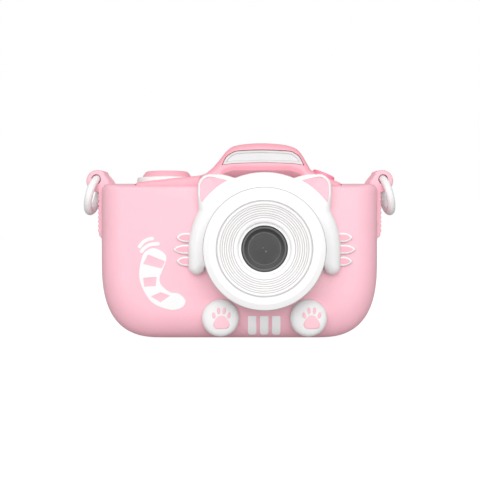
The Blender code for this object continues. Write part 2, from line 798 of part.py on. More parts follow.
def build_camera_modules():
    """Image sensors with their lens tubes, one behind each window."""
    front = box((LENS_X - 7, -3.0, LENS_Z - 7), (LENS_X + 7, -1.6, LENS_Z + 7))
    add(front, rod((LENS_X, LENS_Z), 5.0, -12.0, -2.4), rod((LENS_X, LENS_Z), 3.6, -18.2, -11.5))
    finish(front, "front_camera_module", "black_plastic")
    rear = box((LENS_X - 4, 17.6, REAR_LENS_Z - 4), (LENS_X + 4, 18.8, REAR_LENS_Z + 4))
    add(rear, rod((LENS_X, REAR_LENS_Z), 2.6, 18.5, 20.4))
    finish(rear, "rear_camera_module", "black_plastic")
    glass = rod((LENS_X, REAR_LENS_Z), 3.5, DECK_BACK - 0.6, DECK_BACK + 0.3)
    finish(glass, "rear_camera_window", "dark_glass")


def build_flash():
    """Pale diffuser in the hump's front, and the lamp board behind it."""
    diffuser = plate(window_outline(0), BROW_FRONT + 0.7, BROW_FRONT + 1.9, edge=0.3, steps=1)
    finish(diffuser, "hump_window", "diffuser")
    board = box((LENS_X - 10, -1.0, 64.6), (LENS_X + 10, 0.2, 69.0))
    add(board, box((LENS_X - 2, -2.4, 65.6), (LENS_X + 2, -0.6, 68.4)))
    finish(board, "flash_led_board", "circuit_board")


# ---------------------------------------------------------------- buttons

def build_shoulder_buttons():
    """Shutter collar and button on the left shoulder, power button on the right one."""
    low = 57.9
    collar = [
        (SHUTTER_RING, low), (SHUTTER_RING, 59.9), (10.8, 60.4), (9.9, 60.4), (9.6, 60.0), (9.6, low),
    ]
    collar_part = place(turned(collar, 32, closed=True), (SHUTTER_X, SHOULDER_Y, 0))
    finish(collar_part, "shutter_ring", "white_plastic")
    cap = [
        (0, 54.2), (4.0, 54.2), (4.0, 59.0), (9.2, 59.0), (9.2, 61.2), (8.6, 61.7), (7.6, 61.8),
        (7.1, 62.5), (6.5, SHUTTER_TOP), (0, SHUTTER_TOP),
    ]
    button = place(turned(cap, 28), (SHUTTER_X, SHOULDER_Y, 0))
    finish(button, "shutter_button", "pink_button", (SHUTTER_X, SHOULDER_Y, 59.0))
    place_power = (POWER_X, SHOULDER_Y, POWER_Z)
    knob = [(0, -4.4), (3.1, -4.4), (3.1, -0.0), (4.4, -0.0), (4.4, 1.3), (3.8, 1.8), (0, 1.9)]
    power = place(turned(knob, 22), place_power, power_direction())
    finish(power, "power_button", "pink_button", place_power)
    build_switch("shutter_switch", (SHUTTER_X, SHOULDER_Y, 0), (0, 0, 1), 53.0)
    build_switch("power_switch", place_power, power_direction(), -5.6)


def build_switch(name, place_at, direction, top):
    """Small push switch whose plunger ends just under a button's stem."""
    foot = top - 4.6
    step = top - 1.0
    body = turned([(0, foot), (4.2, foot), (4.2, step), (1.7, step), (1.7, top), (0, top)], 4)
    finish(place(body, place_at, direction), name, "black_plastic")


def build_keys():
    """Back keys: each is a cap on a wider flange that the shell keeps in."""
    for name, outline in key_outlines().items():
        key = plate(outline, 20.2, KEY_FRONT)
        add(key, plate(grow(outline, 0.55), 19.8, 20.6))
        middle_x = sum(x for x, _ in outline) / len(outline)
        middle_z = sum(z for _, z in outline) / len(outline)
        finish(key, name, "white_plastic", (middle_x, KEY_FRONT, middle_z))


# ---------------------------------------------------------------- inner parts

def build_boards():
    """Main board, key board, display, battery and speaker inside the case."""
    finish(box((-33, 12.8, 8), (34, 14.0, 45), "board"), "main_board", "circuit_board")
    finish(box((-42, 17.0, 13.4), (-23, 18.2, 47.4), "board"), "keypad_board", "circuit_board")
    display = plate(moved(rounded_box(47, 35, 1), SCREEN_X, SCREEN_Z), 17.6, 20.4)
    finish(display, "display_panel", "black_plastic")
    finish(plate(screen_outline(0), DECK_BACK - 0.7, DECK_BACK + 0.5), "screen_window", "dark_glass")
    battery = plate(moved(rounded_box(19, 32, 2.4), -27.5, 30), 1.0, 8.0)
    finish(battery, "battery", "battery_wrap")
    speaker = [(0, 0), (6.5, 0), (6.5, 2.6), (5.6, 3.2), (0, 3.2)]
    finish(place(turned(speaker, 24), (38.5, 1.6, 41.5), (0, -1, 0)), "speaker", "black_plastic")


def build_sockets():
    """Charging socket and card socket behind a hinged flap in the right side."""
    usb = box((39.5, 12.2, 27.0), (46.4, 15.4, 36.0))
    cut(usb, box((42, 12.8, 27.8), (50, 14.8, 35.2)))
    finish(usb, "usb_port", "steel")
    card = box((35.4, 9.9, 18.0), (46.4, 11.8, 26.0))
    cut(card, box((40, 10.4, 18.6), (50, 11.3, 25.4)))
    finish(card, "card_socket", "steel")
    flap = box((48.9, FLAP_Y[0], FLAP_Z[0]), (50.3, FLAP_Y[1], FLAP_Z[1]))
    finish(flap, "port_cover", "pink_silicone", (50.5, FLAP_Y[1] + 0.3, sum(FLAP_Z) / 2))


def main():
    """Build every part of the camera."""
    for old in list(bpy.data.objects):
        bpy.data.objects.remove(old)
    MADE.update(make_materials())
    build_sleeve()
    build_face()
    for side, word in ((-1, "left"), (1, "right")):
        build_ear(side, "ear_inlay_" + word)
        build_whiskers(side, "whiskers_" + word)
        build_paw(side, "paw_" + word, "paw_pad_" + word)
        build_ring(side, "strap_ring_" + word)
    build_stripes()
    build_tail()
    build_shells()
    build_screws()
    build_lens()
    build_camera_modules()
    build_flash()
    build_shoulder_buttons()
    build_keys()
    build_boards()
    build_sockets()


MADE = {}
main()
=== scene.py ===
"""Looks of the kids digital camera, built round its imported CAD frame.

Lengths are in millimetres until a mesh is made. +Z is up and the lens looks along -Y.
"""

import json
from math import atan2, cos, degrees, hypot, pi, radians, sin, tan

import bmesh
import bpy
import numpy as np
from mathutils import Matrix, Vector
from mathutils.geometry import delaunay_2d_cdt

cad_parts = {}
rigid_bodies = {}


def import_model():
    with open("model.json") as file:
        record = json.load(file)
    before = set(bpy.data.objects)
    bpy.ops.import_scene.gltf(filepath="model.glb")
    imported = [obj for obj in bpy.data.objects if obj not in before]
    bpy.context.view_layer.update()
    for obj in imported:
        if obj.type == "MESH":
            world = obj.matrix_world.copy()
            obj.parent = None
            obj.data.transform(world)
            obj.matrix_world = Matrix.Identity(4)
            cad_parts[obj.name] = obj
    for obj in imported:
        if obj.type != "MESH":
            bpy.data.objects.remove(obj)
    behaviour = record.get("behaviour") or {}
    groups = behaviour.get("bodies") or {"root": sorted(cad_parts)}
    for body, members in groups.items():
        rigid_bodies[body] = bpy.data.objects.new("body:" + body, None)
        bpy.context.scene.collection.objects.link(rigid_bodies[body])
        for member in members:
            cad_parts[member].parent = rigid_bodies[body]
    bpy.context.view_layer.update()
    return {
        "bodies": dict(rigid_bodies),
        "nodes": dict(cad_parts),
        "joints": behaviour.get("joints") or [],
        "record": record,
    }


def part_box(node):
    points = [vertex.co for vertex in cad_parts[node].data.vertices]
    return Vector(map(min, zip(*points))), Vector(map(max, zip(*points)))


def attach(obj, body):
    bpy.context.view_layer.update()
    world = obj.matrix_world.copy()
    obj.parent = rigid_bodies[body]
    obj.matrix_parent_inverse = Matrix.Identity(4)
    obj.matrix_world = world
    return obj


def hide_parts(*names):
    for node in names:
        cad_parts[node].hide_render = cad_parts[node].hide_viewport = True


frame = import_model()

MM = 0.001
FORWARD = (0, -1, 0)
BACKWARD = (0, 1, 0)


def box_mm(node):
    """Lowest and highest corner of a CAD node, in millimetres."""
    low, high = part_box(node)
    return low / MM, high / MM


# ---- sizes, from the frame where a node's box gives them

BARREL_LOW, BARREL_HIGH = box_mm("lens_barrel")
FACE_LOW, FACE_HIGH = box_mm("cat_face_frame")
COLLAR_LOW, COLLAR_HIGH = box_mm("shutter_ring")
FLAP_LOW, FLAP_HIGH = box_mm("port_cover")

LENS_X = (BARREL_LOW.x + BARREL_HIGH.x) / 2
LENS_Z = (BARREL_LOW.z + BARREL_HIGH.z) / 2
LENS_AXIS = (LENS_X, 0, LENS_Z)
BARREL_RADIUS = (BARREL_HIGH.x - BARREL_LOW.x) / 2
FACE_RADIUS = (FACE_HIGH.x - FACE_LOW.x) / 2
FACE_FRONT = FACE_LOW.y

# Sleeve: outer size, and how far its edges are rounded
HALF_WIDTH = 51.2
SLEEVE_TOP = 57.8
FACE_Y = -7.0
BACK_Y = box_mm("silicone_sleeve")[1].y
SIDE_ROUND = 8.5
FOOT_ROUND = 11.0
FOOT_LIFT = 0.65
BACK_ROUND = 6.0
TOP_ROUND = 2.2
FRONT_DEPTH = 9.0
CORNER_X = 22.9
CORNER_Z = 29.6
CORNER_POWER = 2.75
TOP_CORNER = 2.6
SLEEVE_WALL = 2.0
GAP = 0.3

# Deck and hump
DECK_LEFT = -38.0
DECK_RIGHT = 37.4
DECK_FRONT = -4.6
DECK_BACK = box_mm("rear_shell")[1].y
DECK_FRONT_EDGE = 1.4
DECK_BACK_EDGE = 3.5
BROW_FRONT = box_mm("front_shell")[0].y
BROW_BOTTOM = 62.2
BROW_LEFT = -14.5
BROW_RIGHT = 28.5
SPLIT_Y = 9.0

# Shoulder buttons
SHUTTER_X = (COLLAR_LOW.x + COLLAR_HIGH.x) / 2
SHOULDER_Y = (COLLAR_LOW.y + COLLAR_HIGH.y) / 2
SHUTTER_TOP = box_mm("shutter_button")[1].z
POWER_X = 31.2
POWER_Z = 60.4
POWER_TILT = 22.0

# Back: opening in the sleeve (width, height, corner), screen, keys, rear lens and screws;
# the way each arrow key points, in degrees from +X
BACK_OPENING = (87, 46, 6)
SHELL_WALL = 1.8
SCREEN_X = 7.0
SCREEN_Z = 30.5
KEYS_X = -32.5
KEYS_Z = 30.5
KEY_FRONT = 24.3
MENU_Z = 47.0
MODE_Z = 14.0
REAR_LENS_Z = 64.5
ARROW_ANGLES = {"dpad_right": 180, "dpad_up": 90, "dpad_left": 0, "dpad_down": 270}
SCREW_PLACES = ((-39.5, 9.8), (39.5, 9.8), (-41.5, 51.0), (41.5, 51.0))

# Strap lugs and rings
LUG_X = 53.6
LUG_Y = SHOULDER_Y
LUG_HOLE_Z = 59.7
LUG_YAW = 7.6
RING_RADIUS = 6.36
RING_TUBE = 1.46
RING_RISE = 0.35
RING_TILT = 14.5

# Face arms, and each whisker's level and tip about the lens axis
ARM_RADIUS = 3.05
WHISKERS = ((-4.6, 32.0), (-0.3, 33.15), (4.0, 32.0))

# Paws: offset from the lens axis, height, toes (x, z, width, height, lean), offset of the pads
PAW_X = 16.0
PAW_Z = 8.6
OUTER_TOE = (2.72, 1.12, 1.4, 2.4, -10)
INNER_TOE = (1.0, 2.76, 1.35, 2.5, -4)
PAD_SHIFT = 0.75
PAD_SPREAD = 0.3

# Radii of the funnel's grooves, and how far it falls back for each millimetre inwards
GROOVES = (15.5, 14.8, 14.0, 13.25, 12.4, 11.7, 10.9)
FUNNEL_SLOPE = 0.2


# ---- outlines

def arc(centre, radius, start, end, steps):
    """Points on an arc, with its angles in degrees."""
    points = []
    for index in range(steps + 1):
        angle = radians(start + (end - start) * index / steps)
        points.append((centre[0] + radius * cos(angle), centre[1] + radius * sin(angle)))
    return points


def blend(values, t):
    """Catmull-Rom blend of four values, between the second and the third."""
    before, first, second, after = values
    slope = (second - before) / 2
    bend = before - 2.5 * first + 2 * second - after / 2
    twist = 1.5 * (first - second) + (after - before) / 2
    return first + slope * t + bend * t * t + twist * t ** 3


def smooth(points, steps, closed=False):
    """Points along a smooth curve through the given points."""
    count = len(points)
    spans = count if closed else count - 1
    result = []
    for index in range(spans):
        near = [points[(index + shift) % count] for shift in (-1, 0, 1, 2)]
        if not closed and index == 0:
            near[0] = points[0]
        if not closed and index == spans - 1:
            near[3] = points[-1]
        for step in range(steps):
            result.append(tuple(blend(values, step / steps) for values in zip(*near)))
    if not closed:
        result.append(points[-1])
    return result


def grow(outline, distance, longest=1.6):
    """Move a closed outline outwards, or inwards if the distance is negative.

    A corner moves at most the longest stretch times the distance.
    """
    count = len(outline)
    area = 0
    for (last_x, last_z), (x, z) in zip(outline[-1:] + outline[:-1], outline):
        area += last_x * z - x * last_z
    sign = 1 if area > 0 else -1
    result = []
    for index, (x, z) in enumerate(outline):
        before = Vector(outline[index - 1])
        after = Vector(outline[(index + 1) % count])
        first = (Vector((x, z)) - before).normalized()
        second = (after - Vector((x, z))).normalized()
        normal = Vector((first.y + second.y, -first.x - second.x)).normalized()
        spread_out = 1 / max(normal.dot(Vector((first.y, -first.x))), 0.1)
        stretch = min(spread_out, longest) * distance * sign
        result.append((x + normal.x * stretch, z + normal.y * stretch))
    return result


def mirrored(outline):
    """The outline's other half, in reverse order, without points on the middle line."""
    return [(-x, z) for x, z in reversed(outline) if abs(x) > 0.01]


def moved(outline, x, z):
    """The outline, shifted."""
    return [(px + x, pz + z) for px, pz in outline]


def turned_by(outline, angle):
    """The outline, turned about its origin by an angle in degrees."""
    turn = radians(angle)
    return [(x * cos(turn) - z * sin(turn), x * sin(turn) + z * cos(turn)) for x, z in outline]


def rounded_box(width, height, radius, steps=8):
    """Outline of a box with round corners, about the middle."""
    outline = []
    for turn, (side, level) in enumerate(((1, 1), (-1, 1), (-1, -1), (1, -1))):
        centre = (side * (width / 2 - radius), level * (height / 2 - radius))
        outline += arc(centre, radius, turn * 90, turn * 90 + 90, steps)
    return outline


def oval(width, height, steps=48):
    """Outline of an ellipse about the middle."""
    angles = [2 * pi * index / steps for index in range(steps)]
    return [(width / 2 * cos(angle), height / 2 * sin(angle)) for angle in angles]


def face_place(outline, side=1):
    """An outline about the lens axis, mirrored for the left side, moved to the lens."""
    return moved([(side * x, z) for x, z in outline], LENS_X, LENS_Z)


# ---- meshes

def make_object(name, points, faces):
    """A mesh object from points in millimetres, with its faces pointing out."""
    mesh = bpy.data.meshes.new(name)
    mesh.from_pydata([Vector(point) * MM for point in points], [], faces)
    shape = bmesh.new()
    shape.from_mesh(mesh)
    bmesh.ops.recalc_face_normals(shape, faces=shape.faces)
    shape.to_mesh(mesh)
    shape.free()
    piece = bpy.data.objects.new(name, mesh)
    bpy.context.scene.collection.objects.link(piece)
    return piece


def loft(rings):
    """A solid through rings of points, closed at both ends."""
    count = len(rings[0])
    points = [point for ring in rings for point in ring]
    faces = [tuple(range(count)), tuple(range(len(points) - count, len(points)))]
    for level in range(len(rings) - 1):
        for index in range(count):
            after = (index + 1) % count
            start = level * count
            faces.append((start + index, start + after, start + count + after, start + count + index))
    return make_object("tool", points, faces)


def rounding(radius, steps):
    """How far in and how far back each ring of a rounded edge is, from the face outwards."""
    angles = [radians(90 * step / steps) for step in range(steps if radius else 0, -1, -1)]
    return [(radius * (1 - cos(angle)), radius * (1 - sin(angle))) for angle in angles]


def plate(outline, front, back, edge=0.0, back_edge=0.0, steps=5):
    """An XZ outline made into a solid between two depths, with rounded edges."""
    levels = [(inset, front + sink) for inset, sink in rounding(edge, steps)]
    levels += [(inset, back - sink) for inset, sink in reversed(rounding(back_edge, steps))]
    rings = []
    for inset, depth in levels:
        ring = grow(outline, -inset) if inset else outline
        rings.append([(x, depth, z) for x, z in ring])
    return loft(rings)


def turned(profile, segments=128):
    """A profile of (radius, height) pairs turned about +Z.

    A profile that doesn't start and end on the axis is joined end to start.
    """
    points = []
    rows = []
    for radius, height in profile:
        count = segments if radius else 1
        rows.append([len(points) + index % count for index in range(segments)])
        for index in range(count):
            angle = 2 * pi * index / segments
            points.append((radius * cos(angle), radius * sin(angle), height))
    faces = []
    on_axis = profile[0][0] == profile[-1][0] == 0
    for level in range(len(rows) - on_axis):
        low = rows[level]
        high = rows[(level + 1) % len(rows)]
        for index in range(segments):
            after = (index + 1) % segments
            corners = (low[index], low[after], high[after], high[index])
            faces.append(tuple(dict.fromkeys(corners)))
    return make_object("tool", points, faces)


def place(piece, location, direction=(0, 0, 1)):
    """Turn a piece's +Z towards a direction, move it, and keep that in its mesh."""
    turn = Vector((0, 0, 1)).rotation_difference(Vector(direction)).to_matrix().to_4x4()
    piece.data.transform(Matrix.Translation(Vector(location) * MM) @ turn)
    piece.data.update()
    return piece


def box(low, high):
    """A box between two corners."""
    outline = ((low[0], low[2]), (high[0], low[2]), (high[0], high[2]), (low[0], high[2]))
    return plate(outline, low[1], high[1])


def rod(centre, radius, start, end, segments=64):
    """A round rod along Y at an (x, z) centre."""
    return plate(moved(oval(2 * radius, 2 * radius, segments), *centre), start, end)


def edge_distance(points, outline, closed=True):
    """How far each point is from an outline, or from an open line."""
    start = np.array(outline)
    span = np.roll(start, -1, axis=0) - start
    if not closed:
        start, span = start[:-1], span[:-1]
    away = np.array(points)[:, None, :] - start[None]
    along = np.clip((away * span).sum(2) / (span * span).sum(1), 0, 1)
    gap = away - along[..., None] * span
    return np.sqrt((gap ** 2).sum(2)).min(1)


def divided(line, longest):
    """A closed line whose long stretches are split evenly."""
    points = []
    for index, (x, z) in enumerate(line):
        next_x, next_z = line[(index + 1) % len(line)]
        parts = max(round(hypot(next_x - x, next_z - z) / longest), 1)
        for part in range(parts):
            points.append((x + (next_x - x) * part / parts, z + (next_z - z) * part / parts))
    return points


def inner_points(outline, reach, pitch):
    """Points that fill an outline: rows beside its edge, then an even grid."""
    rows = (0.02, 0.08, 0.18, 0.32, 0.5, 0.75)
    points = []
    for row in rows:
        line = divided(grow(outline, -row * reach), pitch)
        gaps = edge_distance(line, outline)
        points += [point for point, gap in zip(line, gaps) if gap > row * reach * 0.9]
    low = np.array(outline).min(0)
    high = np.array(outline).max(0)
    grid = []
    for row in range(int((high[1] - low[1]) / (pitch * 0.87)) + 1):
        for column in range(int((high[0] - low[0]) / pitch) + 1):
            grid.append((low[0] + (column + 0.5 * (row % 2)) * pitch, low[1] + row * pitch * 0.87))
    gaps = edge_distance(grid, outline)
    return points + [point for point, gap in zip(grid, gaps) if gap > rows[-1] * reach]


def crowned(outline, front, back, edge, reach=0.0, both=False, pitch=0.5, line=None, spread=None):
    """An XZ outline made into a solid whose front rounds over, like a quarter of an ellipse.

    The rounding is an edge deep and reaches that far, or its own reach, in from the outline,
    or from a line along part of it; spread scales the rounding at each point. With both
    set, the back is rounded in the same way.
    """
    reach = reach or edge
    count = len(outline)
    ring = [(index, (index + 1) % count) for index in range(count)]
    seeds = [Vector(point) for point in list(outline) + inner_points(outline, reach, pitch)]
    found = delaunay_2d_cdt(seeds, ring, [], 1, 1e-5)
    flat = [tuple(point) for point in found[0]]
    scale = np.array([spread(x, z) for x, z in flat]) if spread else 1
    turns = np.minimum(edge_distance(flat, line or outline, not line) / (reach * scale), 1)
    sinks = edge * scale * (1 - np.sqrt(1 - (1 - turns) ** 2))
    total = len(flat)
    points = [(x, front + sink, z) for (x, z), sink in zip(flat, sinks)]
    points += [(x, back - sink * both, z) for (x, z), sink in zip(flat, sinks)]
    faces = [tuple(face) for face in found[2]]
    sides = {(face[index - 1], face[index]) for face in faces for index in range(len(face))}
    rim = [(first, second) for first, second in sides if (second, first) not in sides]
    faces += [tuple(index + total for index in reversed(face)) for face in found[2]]
    faces += [(second, first, first + total, second + total) for first, second in sorted(rim)]
    return make_object("tool", points, faces)


def settle(piece):
    """Keep the result of a piece's modifiers as its mesh."""
    evaluated = piece.evaluated_get(bpy.context.evaluated_depsgraph_get())
    piece.data = bpy.data.meshes.new_from_object(evaluated)
    piece.modifiers.clear()
    return piece


def combine(piece, tool, operation):
    """Boolean one piece with a tool, which is used up."""
    step = piece.modifiers.new("combine", "BOOLEAN")
    step.solver = "EXACT"
    step.operation = operation
    step.object = tool
    settle(piece)
    bpy.data.objects.remove(tool)
    return piece


def add(piece, *tools):
    """Join solids to a piece."""
    for tool in tools:
        combine(piece, tool, "UNION")
    return piece


def cut(piece, *tools):
    """Take solids away from a piece."""
    for tool in tools:
        combine(piece, tool, "DIFFERENCE")
    return piece


def soften(piece, width, segments):
    """Round a piece's sharp edges by a width."""
    bevel = piece.modifiers.new("edges", "BEVEL")
    bevel.width = width * MM
    bevel.segments = segments
    bevel.limit_method = "ANGLE"
    bevel.angle_limit = radians(32)
    bevel.miter_outer = "MITER_ARC"
    return settle(piece)


def melt(piece, voxel, rounds):
    """Rebuild a piece from small even faces, and smooth its creases into fillets."""
    remesh = piece.modifiers.new("even", "REMESH")
    remesh.mode = "VOXEL"
    remesh.voxel_size = voxel * MM
    relax = piece.modifiers.new("relax", "SMOOTH")
    relax.factor = 0.5
    relax.iterations = rounds
    return settle(piece)


def show(piece, name, material, nodes=(), body="camera", sharp=35):
    """Name a piece, shade it, and let it ride on its body in place of its CAD nodes."""
    piece.name = name
    piece.data.name = name
    piece.data.materials.clear()
    piece.data.materials.append(material)
    piece.data.shade_smooth()
    if sharp:
        piece.data.set_sharp_from_angle(angle=radians(sharp))
        even = piece.modifiers.new("normals", "WEIGHTED_NORMAL")
        even.keep_sharp = True
        even.weight = 50
    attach(piece, body)
    if nodes:
        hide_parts(*nodes)


# ---- materials

def linear(colour):
    """A colour in sRGB values from 0 to 255 as linear values with alpha."""
    values = []
    for value in colour:
        part = value / 255
        values.append(part / 12.92 if part <= 0.04045 else ((part + 0.055) / 1.055) ** 2.4)
    return (*values, 1)


def set_sockets(node, **values):
    """Set a node's input sockets; a space in a socket's name is written as _."""
    for socket, value in values.items():
        node.inputs[socket.replace("_", " ")].default_value = value


def ramp(tree, source, low, high, to_low=0.0, to_high=1.0):
    """A value stretched from the range low to high onto another range."""
    node = tree.nodes.new("ShaderNodeMapRange")
    set_sockets(node, From_Min=low, From_Max=high, To_Min=to_low, To_Max=to_high)
    tree.links.new(source, node.inputs["Value"])
    return node.outputs["Result"]


def noise(tree, scale, detail=3.0):
    """A noise texture in the piece's own space, with its scale in waves a metre."""
    space = tree.nodes.new("ShaderNodeTexCoord")
    texture = tree.nodes.new("ShaderNodeTexNoise")
    set_sockets(texture, Scale=scale, Detail=detail)
    tree.links.new(space.outputs["Object"], texture.inputs["Vector"])
    return texture.outputs["Fac"]


def edge_wear(tree):
    """How worn each place is: only outer edges, broken up by noise."""
    geometry = tree.nodes.new("ShaderNodeNewGeometry")
    both = tree.nodes.new("ShaderNodeMath")
    both.operation = "MULTIPLY"
    edges = ramp(tree, geometry.outputs["Pointiness"], 0.56, 0.75, 0, 0.35)
    tree.links.new(edges, both.inputs[0])
    tree.links.new(ramp(tree, noise(tree, 900, 4), 0.3, 0.7), both.inputs[1])
    return both.outputs["Value"]


def surface(name, colour, rough, rough_span=0.06, grain=5200, depth=0.006, **sockets):
    """A moulded surface: faint mottling, uneven gloss, fine grain and softly worn edges."""
    material = bpy.data.materials.new(name)
    material.use_nodes = True
    tree = material.node_tree
    shader = tree.nodes["Principled BSDF"]
    base = linear(colour)
    mottle = tree.nodes.new("ShaderNodeMix")
    mottle.data_type = "RGBA"
    mottle.inputs["A"].default_value = base
    mottle.inputs["B"].default_value = (*[value * 0.97 for value in base[:3]], 1)
    tree.links.new(ramp(tree, noise(tree, 130), 0.3, 0.7), mottle.inputs["Factor"])
    worn = tree.nodes.new("ShaderNodeMix")
    worn.data_type = "RGBA"
    worn.inputs["B"].default_value = (*[value + (1 - value) * 0.2 for value in base[:3]], 1)
    tree.links.new(mottle.outputs["Result"], worn.inputs["A"])
    tree.links.new(edge_wear(tree), worn.inputs["Factor"])
    tree.links.new(worn.outputs["Result"], shader.inputs["Base Color"])
    gloss = ramp(tree, noise(tree, 420), 0.3, 0.7, rough - rough_span, rough + rough_span)
    tree.links.new(gloss, shader.inputs["Roughness"])
    bump = tree.nodes.new("ShaderNodeBump")
    set_sockets(bump, Strength=0.6, Distance=depth * MM)
    tree.links.new(noise(tree, grain, 2), bump.inputs["Height"])
    tree.links.new(bump.outputs["Normal"], shader.inputs["Normal"])
    set_sockets(shader, **sockets)
    return material


def silicone(name, colour, rough=0.5, depth=0.003):
    """Soft matte silicone with a faint sheen."""
    return surface(name, colour, rough, depth=depth, Sheen_Weight=0.03, Sheen_Roughness=0.5)


def glass(name, colour, rough=0.35):
    """Dark smooth glass with a weak reflection."""
    return surface(name, colour, rough, 0.03, depth=0.0005, Specular_IOR_Level=0.3)


PINK_SILICONE = silicone("pink_silicone_skin", (250, 192, 205), 0.52, 0.004)
WHITE_SILICONE = silicone("white_silicone_skin", (240, 240, 240))
PAD_PINK = silicone("pad_pink_silicone", (252, 200, 211))
WHISKER_PINK = silicone("whisker_pink_silicone", (252, 178, 192))
EAR_PINK = silicone("ear_pink_silicone", (252, 189, 202))
PINK_SHELL = surface("pink_shell_plastic", (251, 170, 184), 0.38, depth=0.002)
PINK_CAP = surface("pink_cap_plastic", (252, 178, 192), 0.36, depth=0.002)
PINK_BUTTON = surface("pink_button_plastic", (252, 150, 178), 0.33, depth=0.002)
WHITE_PLASTIC = surface("white_plastic_skin", (242, 241, 241), 0.36, 0.04, depth=0.0012)
STRIPE_GREY = surface("pale_stripe_print", (252, 252, 253), 0.48, depth=0.002)
FRAME_PALE = surface("pale_frame_plastic", (211, 213, 212), 0.4, depth=0.002)
DIFFUSER = surface("frosted_diffuser", (214, 214, 215), 0.38, depth=0.004, grain=2600)
LENS_EDGE = glass("lens_edge_glass", (44, 44, 46))
LENS_RIM = glass("lens_rim_glass", (96, 96, 97))
LENS_BAND = glass("lens_band_glass", (48, 48, 49))
LENS_DISC = glass("lens_disc_glass", (50, 49, 50), 0.32)
# Painted shade: a darker, greyer pink for the hollow under the brow, where shade falls.
RECESS_PAINTED_SHADE = surface("recess_painted_shade", (222, 170, 182), 0.4, depth=0.002)
# Painted highlights: a light grey for two small domes on the lens, where the lights glint.
LENS_PAINTED_GLINT = glass("painted_lens_glint", (128, 128, 130), 0.3)
# Painted shade: a grey for the funnel's grooves and the seam round the barrel, where shade falls.
PAINTED_GROOVE_SHADE = surface("painted_groove_shade", (201, 198, 198), 0.5, depth=0.001)
SCREEN_EDGE = surface("screen_edge_glass", (22, 22, 24), 0.16, 0.03, depth=0.0004)
SCREEN_FACE = surface("screen_face_glass", (38, 40, 44), 0.14, 0.03, depth=0.0004)
STEEL = surface("screw_steel", (172, 174, 177), 0.34, 0.08, depth=0.001, Metallic=1.0)
BOARD_GREEN = surface("board_green", (36, 98, 64), 0.45, depth=0.003)
BATTERY_BLUE = surface("battery_blue_wrap", (62, 98, 148), 0.4, depth=0.002)
BLACK_PLASTIC = surface("black_plastic_skin", (34, 34, 36), 0.45, depth=0.002)


# ---- camera, light and floor

# Strengths of the surroundings and the floor, as seen and as they light the object
WORLD_LIGHT = 0.53
FLOOR_SEEN = 0.95
FLOOR_LIGHT = 0.2


def make_camera():
    """A level camera 3 mm above the lens's axis, a little over 0.4 m in front."""
    data = bpy.data.cameras.new("camera")
    data.lens = 85
    data.sensor_width = 36
    data.shift_x = -0.0493
    data.clip_start = 0.01
    camera = bpy.data.objects.new("camera", data)
    camera.location = (0.009, -0.42, 0.0369)
    camera.rotation_euler = (radians(90), 0, 0)
    bpy.context.scene.collection.objects.link(camera)
    bpy.context.scene.camera = camera


def make_light(name, location, size, power):
    """A square soft light at a place in metres, which faces the middle of the object."""
    data = bpy.data.lights.new(name, "AREA")
    data.shape = "SQUARE"
    data.size = size
    data.energy = power
    light = bpy.data.objects.new(name, data)
    light.location = location
    light.rotation_mode = "QUATERNION"
    towards = Vector((0, 0, 0.035)) - Vector(location)
    light.rotation_quaternion = towards.to_track_quat("-Z", "Y")
    bpy.context.scene.collection.objects.link(light)


def seen_or_lighting(tree, seen, lighting):
    """A strength that is one value where the studio is seen, another where it gives light."""
    path = tree.nodes.new("ShaderNodeLightPath")
    return ramp(tree, path.outputs["Is Camera Ray"], 0, 1, lighting, seen)


def make_world():
    """White surroundings: bright where they are seen, softer where they light the object."""
    world = bpy.data.worlds.new("studio")
    bpy.context.scene.world = world
    world.use_nodes = True
    tree = world.node_tree
    background = tree.nodes["Background"]
    background.inputs["Color"].default_value = (1, 1, 1, 1)
    tree.links.new(seen_or_lighting(tree, 1.0, WORLD_LIGHT), background.inputs["Strength"])


def make_floor():
    """A wide pale floor that shows the object's shade but returns little light to it."""
    size = 60000
    corners = [(-size, -size, 0), (size, -size, 0), (size, size, 0), (-size, size, 0)]
    floor = make_object("floor", corners, [(0, 1, 2, 3)])
    material = bpy.data.materials.new("floor_white")
    material.use_nodes = True
    tree = material.node_tree
    shader = tree.nodes["Principled BSDF"]
    white = (1, 1, 1, 1)
    set_sockets(shader, Base_Color=(0.3, 0.3, 0.3, 1), Roughness=1, Emission_Color=white)
    set_sockets(shader, Specular_IOR_Level=0)
    strength = seen_or_lighting(tree, FLOOR_SEEN, FLOOR_LIGHT)
    tree.links.new(strength, shader.inputs["Emission Strength"])
    floor.data.materials.append(material)


def make_studio():
    """Camera, soft lights, surroundings and floor."""
    bpy.context.scene.view_settings.view_transform = "Standard"
    make_camera()
    make_world()
    make_floor()
    make_light("key", (-0.06, -0.59, 0.24), 0.55, 2.6)
    make_light("fill", (0.20, -0.68, 0.05), 0.60, 1.8)


# ---- sleeve

def case_outline(half_width, bottom, top, corner_x, corner_z, top_corner):
    """Case outline in XZ: straight sides, superellipse bottom corners, small top ones."""
    right = []
    for step in range(23):
        angle = pi / 2 * step / 22
        x = half_width - corner_x * (1 - sin(angle) ** (2 / CORNER_POWER))
        z = bottom + corner_z * (1 - cos(angle) ** (2 / CORNER_POWER))
        right.append((x, z))
    right += arc((half_width - top_corner, top - top_corner), top_corner, 0, 90, 8)
    return right + [(-x, z) for x, z in reversed(right)]


def case_ring(depth, angle, extra, back=False):
    """Case outline where its edge has turned by an angle, with extra size all round."""
    turn = 1 - cos(radians(angle))
    side = max((BACK_ROUND if back else SIDE_ROUND) + extra, 0.5) * turn
    foot = max((BACK_ROUND if back else FOOT_ROUND) + extra, 0.5) * turn
    head = max(TOP_ROUND + extra, 0.2) * turn
    outline = case_outline(
        HALF_WIDTH + extra - side,
        foot - extra + (0 if back else FOOT_LIFT),
        SLEEVE_TOP + extra - head,
        CORNER_X + extra - side * 0.6,
        CORNER_Z + extra - foot * 0.9,
        max(TOP_CORNER + extra - head * 0.5, 0.4),
    )
    return [(x, depth, z) for x, z in outline]


